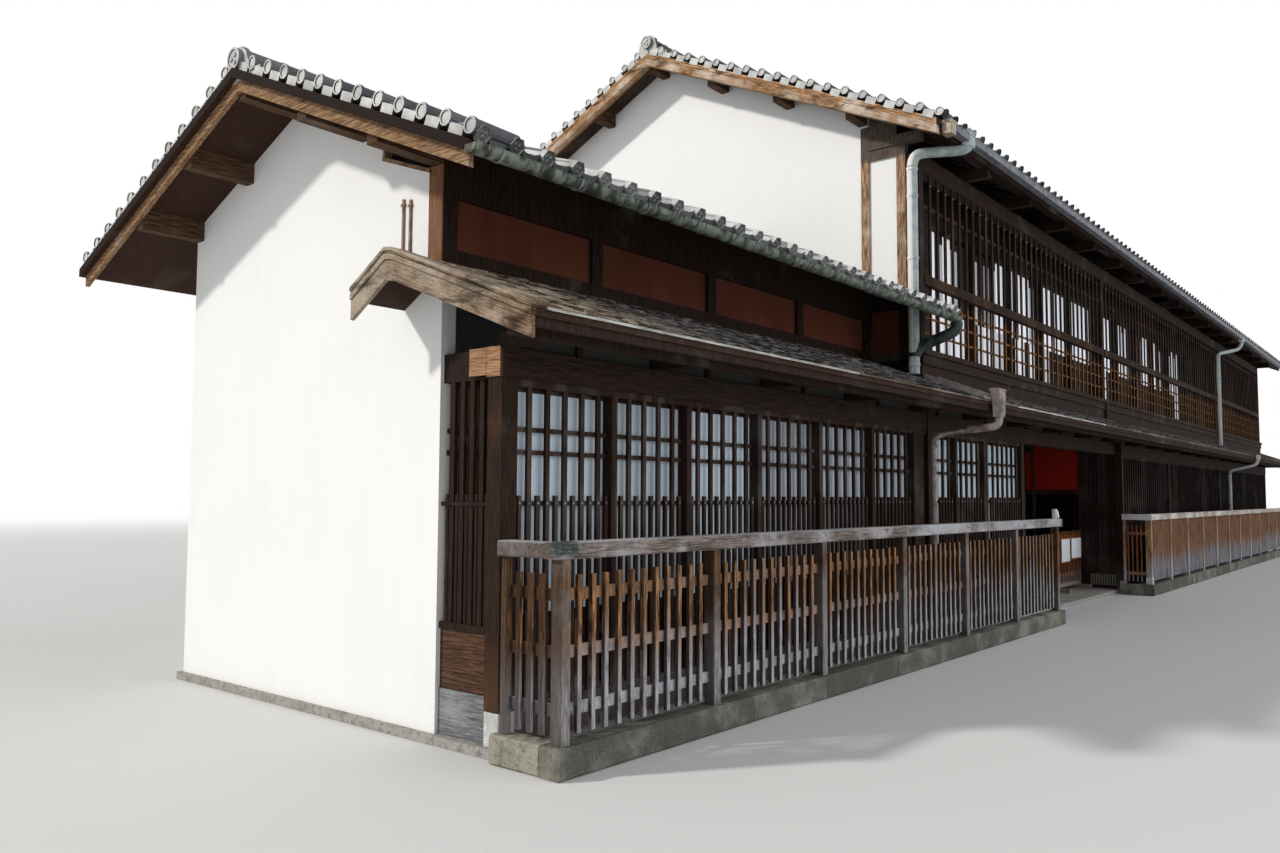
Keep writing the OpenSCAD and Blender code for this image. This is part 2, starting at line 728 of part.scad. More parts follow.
module rain_pipes() {
    y0 = -pent_out;
    y1 = -80;
    x = wing_len - 110;
    r = 58;
    far_x = 23250;
    out_y = -main_eave - 50;
    out_z = main_z(-main_eave) - 140;
    edge_y = -pent_out - 60;
    low_x = wing_len + 40;
    low_y = -125;
    color(metal_grey) {
        pipe(x, 20, pent_z(82), 5220, r);
        neck([x, 20], [outlet_x, out_y], 5230, out_z, r);
        neck([x, 20], [6300, -wing_eave - 45], 3150, wing_z(-wing_eave) - 100, 50);
        pipe(far_x, -110, pent_z(-64), 5060);
        neck([far_x, -110], [far_x + 1000, out_y], 5070, out_z + 50);
        along_x(wing_len, wing_len + 380)
            polygon([[y0, pent_z(y0)], [y1, pent_z(y1)], [y1, pent_z(y1) + 25], [y0, pent_z(y0) + 25]]);
        block([wing_len - 60, y0 - 100, pent_edge_z - 110], [wing_len + 440, y0 - 20, pent_edge_z + 20]);
        pipe(low_x, low_y, curb_h, 2215, 36);
        neck([low_x, low_y], [wing_len + 280, edge_y], 2225, 2530, 36);
        pipe(24240, low_y, curb_h, 2265, 36);
        neck([24240, low_y], [24240, edge_y], 2275, 2560, 36);
    }
}

fence_y0 = -fence_out;
rail_z = rail_top - rail_h;

right_x0 = entry_x1 - 230;
right_bays = 12;
right_bay = (house_len - right_x0 - 90) / right_bays;
fence_post_w = 80;
left_end = fence_post_w - 65 + fence_posts * fence_bay;
fence_post_d = 85;
cap_x0 = -100;
picket_z0 = 222;
fence_rails = [330, 660, 988];
fence_rail_t = 72;

module fence_frames() {
    color(wood_grey) {
        for (i = [0 : fence_posts])
            block([-65 + i * fence_bay, fence_y0, curb_h],
                [-65 + i * fence_bay + fence_post_w, fence_y0 + fence_post_d, rail_z]);
        block([cap_x0, fence_y0 - 20, rail_z], [left_end + 80, fence_y0 + 110, rail_top]);
        for (i = [0 : right_bays])
            block([right_x0 + i * right_bay, fence_y0, curb_h],
                [right_x0 + i * right_bay + 90, fence_y0 + 90, rail_z]);
        block([right_x0 - 40, fence_y0 - 20, rail_z], [house_len, fence_y0 + 110, rail_top]);
    }
}

// Short sides of the fences towards the house: cap, end post, pickets and rails.
module fence_returns() {
    cap_y = fence_y0 + 110;
    post_y = -130;
    right_y = -195;
    color(wood_grey) {
        block([-65, post_y, curb_h], [-15, -80, rail_z]);
        for (k = [0 : 2])
            block([-58, -235 - k * 97, picket_z0], [-58 + picket_d, -199 - k * 97, 1145]);
        for (z = fence_rails)
            block([-47, fence_y0 + fence_post_d, z], [-25, post_y, z + fence_rail_t]);
        block([cap_x0, cap_y, rail_z], [30, -80, rail_top]);
        block([right_x0, right_y, curb_h], [right_x0 + 45, -155, rail_z]);
        for (k = [1 : 5])
            block([right_x0 + 8, fence_y0 + 79 + k * 57, picket_z0],
                [right_x0 + 30, fence_y0 + 101 + k * 57, 1145]);
        for (z = [370, 730, 1090])
            block([right_x0 + 20, fence_y0 + 90, z], [right_x0 + 42, right_y, z + 50]);
        block([right_x0 - 40, cap_y, rail_z], [right_x0 + 90, -155, rail_top]);
    }
}

module fence_pickets() {
    n = 11;
    step = 120;
    y = fence_y0 + 21;
    color(wood_grey)
        for (i = [0 : fence_posts - 1]) {
            x0 = -65 + fence_post_w + i * fence_bay;
            x1 = x0 + fence_bay - fence_post_w;
            for (k = [0 : n - 1])
                block([x0 + 80 + k * step, y, picket_z0],
                    [x0 + 80 + k * step + picket_w, y + picket_d, 1140]);
            for (z = fence_rails)
                block([x0, y + 11, z], [x1, y + 33, z + fence_rail_t]);
        }
}

module fence_boards() {
    color(wood_brown)
        for (i = [0 : right_bays - 1])
            block([right_x0 + i * right_bay + 90, fence_y0 + 20, curb_h + 50],
                [right_x0 + (i + 1) * right_bay, fence_y0 + 45, rail_z]);
}

module curb_stones() {
    color(stone_tan) {
        block([-110, fence_y0 - 40, 0], [left_end + 90, fence_y0 + 130, curb_h]);
        block([-110, fence_y0 + 130, 0], [50, -40, curb_h]);
        block([right_x0 - 40, fence_y0 - 40, 0], [house_len + 40, fence_y0 + 130, curb_h]);
        block([right_x0 - 40, fence_y0 + 130, 0], [right_x0 + 110, -150, curb_h]);
    }
}

wing_floor();
main_floor();
front_posts();
inner_posts();
head_beam();
frieze_boards();
wing_lattice();
second_lattice();
paper_screens();
right_lattice_near();
right_lattice_far();
side_panel();
entry_side_wall();
entry_red_panel();
entry_barrier();
pent_roof();
pent_bargeboard();
pent_frame();
wing_front_frame();
wing_red_panels();
wing_left_wall();
wing_rear_wall();
wing_roof_front();
wing_roof_rear();
upper_floor();
upper_frame();
upper_lattice_a();
upper_lattice_b();
upper_lattice_c();
upper_wall();
gable_posts();
main_left_gable();
main_right_gable();
main_rear_wall();
rear_windows();
main_roof_front();
main_roof_rear();
roof_ridges();
purlins();
bargeboards();
main_eave_frame();
gutters();
rain_pipes();
fence_frames();
fence_returns();
fence_pickets();
fence_boards();
curb_stones();
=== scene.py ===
"""Looks of the machiya townhouse: finishes, roof tiles, shingles, paper screens, stones, pipes and light.

Metres. X runs along the street to the right, Y into the house, Z up, as in the CAD frame.
"""

import logging
import math
import random
from dataclasses import dataclass, field
from enum import Enum

import bpy
from mathutils import Matrix, Vector


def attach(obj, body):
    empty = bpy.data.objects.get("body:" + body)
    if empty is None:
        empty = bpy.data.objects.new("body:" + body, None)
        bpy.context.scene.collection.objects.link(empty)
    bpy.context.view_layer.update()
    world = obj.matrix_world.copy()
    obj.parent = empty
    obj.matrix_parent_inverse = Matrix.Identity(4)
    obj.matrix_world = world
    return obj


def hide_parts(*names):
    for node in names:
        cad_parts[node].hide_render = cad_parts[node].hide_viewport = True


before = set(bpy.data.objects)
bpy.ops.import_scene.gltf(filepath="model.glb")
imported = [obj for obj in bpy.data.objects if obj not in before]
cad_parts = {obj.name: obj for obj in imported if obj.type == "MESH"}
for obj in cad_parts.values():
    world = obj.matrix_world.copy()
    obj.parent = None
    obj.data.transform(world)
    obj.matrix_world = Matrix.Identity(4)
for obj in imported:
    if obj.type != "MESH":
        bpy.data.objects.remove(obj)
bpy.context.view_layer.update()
LOG = logging.getLogger("townhouse")

Point = tuple[float, float, float]
Colour = tuple[float, float, float]
Socket = bpy.types.NodeSocket
Material = bpy.types.Material

HOUSE_LEN = 31.0
WALL_Y = 0.6
WING_RIDGE_Y = 2.29
MAIN_RIDGE_Y = 3.555
MAIN_SLOPE = 0.465
RAFTER_PITCH = 0.36

UP = Vector((0.0, 0.0, 1.0))
TO_STREET = Vector((0.0, -1.0, 0.0))
TO_LEFT = Vector((-1.0, 0.0, 0.0))
TO_RIGHT = Vector((1.0, 0.0, 0.0))


class Axis(Enum):
    """Direction in which a timber's grain runs."""

    X = (0.6, 14.0, 14.0)
    Y = (14.0, 0.6, 14.0)
    Z = (14.0, 14.0, 0.6)


class Graph:
    """Short-hand for building one material's node tree."""

    def __init__(self, name: str) -> None:
        """Makes an empty material called name, with a shader and an output."""
        self.material = bpy.data.materials.new(name)
        self.material.use_nodes = True
        self.tree = self.material.node_tree
        self.tree.nodes.clear()
        self.shader = self.tree.nodes.new("ShaderNodeBsdfPrincipled")
        output = self.tree.nodes.new("ShaderNodeOutputMaterial")
        self.link(self.shader.outputs[0], output.inputs[0])

    def link(self, source: Socket, target: Socket) -> None:
        """Joins two sockets."""
        self.tree.links.new(source, target)

    def node(self, kind: str, **values: object) -> bpy.types.Node:
        """Adds a node.

        Args:
            kind: The node's type without its "ShaderNode" prefix.
            values: Attributes of the node.

        Returns:
            The node.
        """
        made = self.tree.nodes.new("ShaderNode" + kind)
        for key, value in values.items():
            setattr(made, key, value)
        return made

    def feed(self, socket: Socket, value: object) -> None:
        """Links value to socket where it is a socket, or sets it as the socket's own value."""
        if isinstance(value, Socket):
            self.link(value, socket)
        else:
            socket.default_value = value

    def place(self, scale: Point = (1.0, 1.0, 1.0), shift: Point = (0.0, 0.0, 0.0), slant: float = 0.0,
              fold: float = 0.0) -> Socket:
        """Returns Object coordinates under a Mapping node of that scale and shift.

        Args:
            scale: Scale of the Mapping node.
            shift: Its location.
            slant: Turn about X before it, which brings a sloping board's length onto Y.
            fold: Place on Y where a turned slope is mirrored.
        """
        source = self.node("TexCoord").outputs["Object"]
        if slant:
            split, whole, turn = self.node("SeparateXYZ"), self.node("CombineXYZ"), self.node("Mapping")
            self.link(source, split.inputs[0])
            self.link(split.outputs[0], whole.inputs[0])
            self.link(self.maths("ABSOLUTE", self.maths("SUBTRACT", split.outputs[1], fold)), whole.inputs[1])
            self.link(split.outputs[2], whole.inputs[2])
            self.link(whole.outputs[0], turn.inputs["Vector"])
            turn.inputs["Rotation"].default_value = (slant, 0.0, 0.0)
            source = turn.outputs["Vector"]
        mapping = self.node("Mapping")
        self.link(source, mapping.inputs["Vector"])
        mapping.inputs["Scale"].default_value = scale
        mapping.inputs["Location"].default_value = shift
        return mapping.outputs["Vector"]

    def noise(self, where: Socket, scale: float, detail: float = 4.0, rough: float = 0.55,
              bend: float = 0.0) -> Socket:
        """Returns a noise value of that scale at where."""
        made = self.node("TexNoise")
        self.link(where, made.inputs["Vector"])
        made.inputs["Scale"].default_value = scale
        made.inputs["Detail"].default_value = detail
        made.inputs["Roughness"].default_value = rough
        made.inputs["Distortion"].default_value = bend
        return made.outputs["Fac"]

    def span(self, value: object, low: float, high: float, to_low: float = 0.0,
             to_high: float = 1.0) -> Socket:
        """Returns value mapped smoothly from low..high to to_low..to_high."""
        made = self.node("MapRange", interpolation_type="SMOOTHSTEP")
        self.feed(made.inputs["Value"], value)
        for key, number in {"From Min": low, "From Max": high, "To Min": to_low, "To Max": to_high}.items():
            made.inputs[key].default_value = number
        return made.outputs["Result"]

    def maths(self, operation: str, a: object, b: object = 0.0) -> Socket:
        """Returns a and b under a Math operation."""
        made = self.node("Math", operation=operation)
        self.feed(made.inputs[0], a)
        self.feed(made.inputs[1], b)
        return made.outputs[0]

    def plus(self, a: object, b: object, share: float) -> Socket:
        """Returns a and a share of b added."""
        return self.maths("ADD", a, self.maths("MULTIPLY", b, share))

    def mix(self, factor: object, a: object, b: object) -> Socket:
        """Returns colours a and b mixed by factor."""
        made = self.node("Mix", data_type="RGBA")
        self.feed(made.inputs["Factor"], factor)
        self.feed(made.inputs[6], a if isinstance(a, Socket) else (*a, 1.0))
        self.feed(made.inputs[7], b if isinstance(b, Socket) else (*b, 1.0))
        return made.outputs[2]

    def tint(self) -> Socket:
        """Returns the piece's own "tint" attribute, a random value for each of its parts."""
        return self.node("Attribute", attribute_name="tint").outputs["Fac"]

    def bar_tint(self, axis: int, pitch: float) -> Socket:
        """Returns a random value for each step of pitch along an axis."""
        split = self.node("SeparateXYZ")
        self.link(self.place(), split.inputs[0])
        cell = self.maths("FLOOR", self.maths("DIVIDE", split.outputs[axis], pitch))
        noise = self.node("TexWhiteNoise", noise_dimensions="1D")
        self.link(cell, noise.inputs["W"])
        return noise.outputs["Value"]

    def facing(self, way: Point) -> Socket:
        """Returns 1 where the surface looks that way, falling to 0 across it."""
        dot = self.node("VectorMath", operation="DOT_PRODUCT")
        self.link(self.node("NewGeometry").outputs["True Normal"], dot.inputs[0])
        dot.inputs[1].default_value = way
        return self.span(dot.outputs["Value"], 0.35, 0.85)

    def height(self, axis: int = 2) -> Socket:
        """Returns the place along an axis, the height above the ground where none is named."""
        split = self.node("SeparateXYZ")
        self.link(self.place(), split.inputs[0])
        return split.outputs[axis]

    def finish(self, colour: Socket, rough: object, relief: object = None, depth: float = 0.3,
               distance: float = 0.01, sheen: float = 0.4) -> Material:
        """Sets colour, roughness, sheen and bump.

        Args:
            colour: Base colour.
            rough: Roughness, a socket or a number.
            relief: Height that drives the bump, or None.
            depth: Strength of the bump.
            distance: Distance of the bump in metres.
            sheen: How strongly the surface mirrors light.

        Returns:
            The material.
        """
        self.shader.inputs["Specular IOR Level"].default_value = sheen
        self.feed(self.shader.inputs["Base Color"], colour)
        self.feed(self.shader.inputs["Roughness"], rough)
        if relief is not None:
            bump = self.node("Bump")
            bump.inputs["Strength"].default_value = depth
            bump.inputs["Distance"].default_value = distance
            self.feed(bump.inputs["Height"], relief)
            self.link(bump.outputs[0], self.shader.inputs["Normal"])
        return self.material


@dataclass(frozen=True)
class Timber:
    """Weathered wood: grain streaks, a shade for each bar, bleached patches, a grey foot and painted shade on
    -X sides.
    """

    name: str
    dark: Colour
    light: Colour
    worn: Colour = (0.30, 0.27, 0.24)
    axis: Axis = Axis.Z
    wear: float = 0.35
    foot: float = 0.0
    foot_top: float = 0.6
    foot_fade: float = 0.6
    pitch: float = 0.0
    bar_axis: int = 0
    # Strength of the painted shade on faces turned to -X.
    side: float = 0.0
    crown: float = 0.0
    head: float = 0.0
    check: float = 0.65
    stain: float = 0.0
    slant: float = 0.0
    fold: float = 0.0

    def build(self) -> Material:
        """Returns the material."""
        g = Graph(self.name)
        black = (0.006, 0.004, 0.003)
        along = g.place(self.axis.value, slant=self.slant, fold=self.fold)
        streak = g.noise(along, 9.0, 7.0, 0.65, 0.6)
        fine = g.noise(along, 42.0, 3.0, 0.6)
        patch = g.noise(g.place(), 1.7, 4.0, 0.6)
        tint = g.bar_tint(self.bar_axis, self.pitch) if self.pitch else g.tint()
        wood = g.mix(g.span(streak, 0.38, 0.64), self.dark, self.light)
        wood = g.mix(g.maths("MULTIPLY", tint, 0.7), wood, g.mix(0.72, self.light, self.dark))
        worn = g.maths("MULTIPLY", g.span(g.plus(patch, tint, 0.22), 0.55, 0.78), self.wear)
        wood = g.mix(worn, wood, self.worn)
        if self.foot:
            shift = g.maths("MULTIPLY", g.maths("ADD", patch, tint), -0.58 * self.foot_fade)
            rise = g.maths("ADD", g.height(), shift)
            grey = g.mix(g.span(streak, 0.35, 0.68, 0.0, 0.7), self.worn, self.dark)
            top = self.foot_top - 0.35
            wood = g.mix(g.span(rise, top, top - self.foot_fade, 0.0, self.foot), wood, grey)
        if self.head:
            wood = g.mix(g.span(g.height(), self.head - 0.03, self.head + 0.03, 0.0, 0.85), wood,
                         (0.080, 0.073, 0.068))
        if self.crown:
            wood = g.mix(g.maths("MULTIPLY", g.facing((0.0, 0.0, 1.0)), self.crown), wood, self.worn)
        wood = g.mix(g.span(fine, 0.46, 0.72, 0.0, self.check), wood, g.mix(0.82, wood, black))
        if self.stain:
            blot = g.noise(g.place(tuple(0.35 + 0.05 * s for s in self.axis.value)), 5.0, 5.0, 0.7, 0.5)
            wood = g.mix(g.span(blot, 0.50, 0.66, 0.0, self.stain), wood, g.mix(0.6, self.dark, black))
        # Painted shade: faces turned to -X are darkened towards black.
        if self.side:
            wood = g.mix(g.maths("MULTIPLY", g.facing((-1.0, 0.0, 0.0)), self.side), wood,
                         g.mix(0.5, self.dark, black))
        relief = g.plus(streak, fine, 0.5)
        return g.finish(wood, g.span(streak, 0.2, 0.8, 0.66, 0.9), relief, 0.35, 0.004, 0.10)


@dataclass(frozen=True)
class Plaster:
    """Lime or clay plaster with a faint trowel relief and slow stains."""

    name: str
    base: Colour
    stain: Colour
    amount: float = 0.4

    def build(self) -> Material:
        """Returns the material."""
        g = Graph(self.name)
        cloud = g.noise(g.place(), 1.1, 5.0, 0.6)
        drip = g.noise(g.place((5.0, 5.0, 0.5)), 1.6, 4.0, 0.6)
        grit = g.noise(g.place(), 90.0, 3.0, 0.6)
        colour = g.mix(g.span(g.plus(cloud, drip, 0.7), 0.75, 1.1, 0.0, self.amount), self.base, self.stain)
        colour = g.mix(g.span(grit, 0.3, 0.7, 0.0, 0.12), colour, self.stain)
        return g.finish(colour, 0.9, g.maths("ADD", g.maths("MULTIPLY", grit, 0.4), cloud), 0.25, 0.004, 0.12)


@dataclass(frozen=True)
class Tile:
    """Smoked clay tile: a shade for each tile, painted sunlight on faces turned to -X and up, and darker
    weather stains.
    """

    name: str
    dark: Colour = (0.048, 0.050, 0.056)
    light: Colour = (0.17, 0.175, 0.185)
    # Colour and strength of the painted sunlight on faces turned to -X and up.
    pale: Colour = (0.80, 0.79, 0.76)
    sun_paint: float = 0.85

    def build(self) -> Material:
        """Returns the material."""
        g = Graph(self.name)
        cloud = g.noise(g.place(), 5.0, 5.0, 0.6)
        speck = g.noise(g.place(), 60.0, 3.0, 0.7)
        shade = g.maths("ADD", g.maths("MULTIPLY", g.tint(), 0.6), g.maths("MULTIPLY", cloud, 0.55))
        colour = g.mix(g.span(shade, 0.15, 0.95), self.dark, self.light)
        colour = g.mix(g.span(speck, 0.58, 0.72, 0.0, 0.35), colour, (0.30, 0.31, 0.30))
        # Painted sunlight: faces turned to -X and up are mixed towards pale, broken up by noise.
        sunny = g.maths("ADD", g.facing((-0.94, 0.0, 0.34)), g.span(cloud, 0.35, 0.65, -0.45, 0.0))
        colour = g.mix(g.maths("MULTIPLY", g.maths("MAXIMUM", sunny, 0.0), self.sun_paint), colour, self.pale)
        return g.finish(colour, g.span(cloud, 0.3, 0.7, 0.5, 0.72), speck, 0.2, 0.003, 0.2)


@dataclass(frozen=True)
class Shingle:
    """Thin cedar shingles gone silver, with brown cores, dark joints and painted sunlight near the left end.
    """

    name: str

    def build(self) -> Material:
        """Returns the material."""
        g = Graph(self.name)
        grain = g.noise(g.place((16.0, 1.2, 1.2)), 9.0, 6.0, 0.65)
        course = g.noise(g.place((0.9, 14.0, 5.0)), 2.6, 5.0, 0.65)
        patch = g.noise(g.place((0.5, 1.0, 1.0)), 2.2, 4.0, 0.6)
        shade = g.maths("ADD", g.maths("MULTIPLY", g.tint(), 0.28), g.maths("MULTIPLY", grain, 0.22))
        shade = g.maths("ADD", shade, g.maths("MULTIPLY", course, 0.75))
        colour = g.mix(g.span(shade, 0.50, 0.86), (0.020, 0.016, 0.014), (0.27, 0.25, 0.245))
        colour = g.mix(g.span(patch, 0.50, 0.72, 0.0, 0.5), colour, (0.075, 0.050, 0.036))
        # Painted sunlight: towards the left end the shingles are mixed to a golden colour.
        painted_sunlight = g.mix(g.span(shade, 0.46, 0.74), (0.045, 0.028, 0.018), (0.50, 0.40, 0.29))
        colour = g.mix(g.span(g.height(0), -0.1, 1.7, 0.8, 0.0), colour, painted_sunlight)
        return g.finish(colour, 0.85, grain, 0.5, 0.004, 0.12)


@dataclass(frozen=True)
class Stone:
    """Split granite with dark and pale grains."""

    name: str
    base: Colour
    dark: Colour

    def build(self) -> Material:
        """Returns the material."""
        g = Graph(self.name)
        cloud = g.noise(g.place(), 3.0, 5.0, 0.6)
        grain = g.noise(g.place(), 130.0, 3.0, 0.7)
        pits = g.noise(g.place(), 22.0, 5.0, 0.65)
        colour = g.mix(g.span(g.plus(cloud, g.tint(), 0.3), 0.4, 0.85), self.base, self.dark)
        colour = g.mix(g.span(pits, 0.46, 0.66, 0.0, 0.65), colour,
                       g.mix(0.75, self.base, (0.03, 0.03, 0.025)))
        colour = g.mix(g.span(grain, 0.56, 0.68, 0.0, 0.6), colour, (0.05, 0.05, 0.048))
        colour = g.mix(g.span(grain, 0.42, 0.32, 0.0, 0.4), colour, (0.62, 0.60, 0.55))
        return g.finish(colour, 0.85, g.plus(pits, grain, 0.3), 0.5, 0.012, 0.15)


@dataclass(frozen=True)
class Metal:
    """Weathered sheet metal: a base shade, a patina in runs, small rust blooms and a painted sunlit side."""

    name: str
    base: Colour
    patina: Colour
    rust: Colour = (0.16, 0.07, 0.03)
    rust_amount: float = 0.3
    shine: float = 0.3
    grain: float = 3.0
    # Strength of the painted sunlight on sides turned to -X and +Y.
    sunny: float = 0.0

    def build(self) -> Material:
        """Returns the material."""
        g = Graph(self.name)
        runs = g.noise(g.place((self.grain, 3.0, 3.0)), 2.6, 6.0, 0.65, 0.8)
        bloom = g.noise(g.place(), 14.0, 5.0, 0.7)
        colour = g.mix(g.span(runs, 0.38, 0.62), self.base, self.patina)
        colour = g.mix(g.span(bloom, 0.56, 0.70, 0.0, self.rust_amount), colour, self.rust)
        # Painted sunlight: sides turned to -X and +Y are mixed towards near white.
        colour = g.mix(g.maths("MULTIPLY", g.facing((-0.80, 0.60, 0.0)), self.sunny), colour,
                       (0.93, 0.90, 0.88))
        g.shader.inputs["Metallic"].default_value = self.shine
        return g.finish(colour, g.span(runs, 0.3, 0.7, 0.46, 0.66), bloom, 0.15, 0.003, 0.25)


@dataclass(frozen=True)
class Paper:
    """White panes behind bars, a little uneven, with a painted glow that stands for light coming through
    them.
    """

    name: str
    base: Colour = (0.54, 0.63, 0.71)
    glow: float = 0.12
    shaded: Colour = (0.44, 0.50, 0.56)

    def build(self) -> Material:
        """Returns the material."""
        g = Graph(self.name)
        cloud = g.noise(g.place(), 6.0, 4.0, 0.6)
        fibre = g.noise(g.place((1.0, 1.0, 0.25)), 60.0, 3.0, 0.6)
        colour = g.mix(g.tint(), self.base, self.shaded)
        colour = g.mix(g.span(cloud, 0.4, 0.7, 0.0, 0.35), colour, g.mix(0.75, (0.40, 0.42, 0.42), colour))
        # Painted glow: each pane emits its colour, dimmed where it is tinted towards the shaded colour.
        self_lit = g.mix(g.tint(), self.base, (0.0, 0.0, 0.0))
        g.feed(g.shader.inputs["Emission Color"], self_lit)
        g.shader.inputs["Emission Strength"].default_value = self.glow
        return g.finish(colour, 0.45, fibre, 0.1, 0.002)


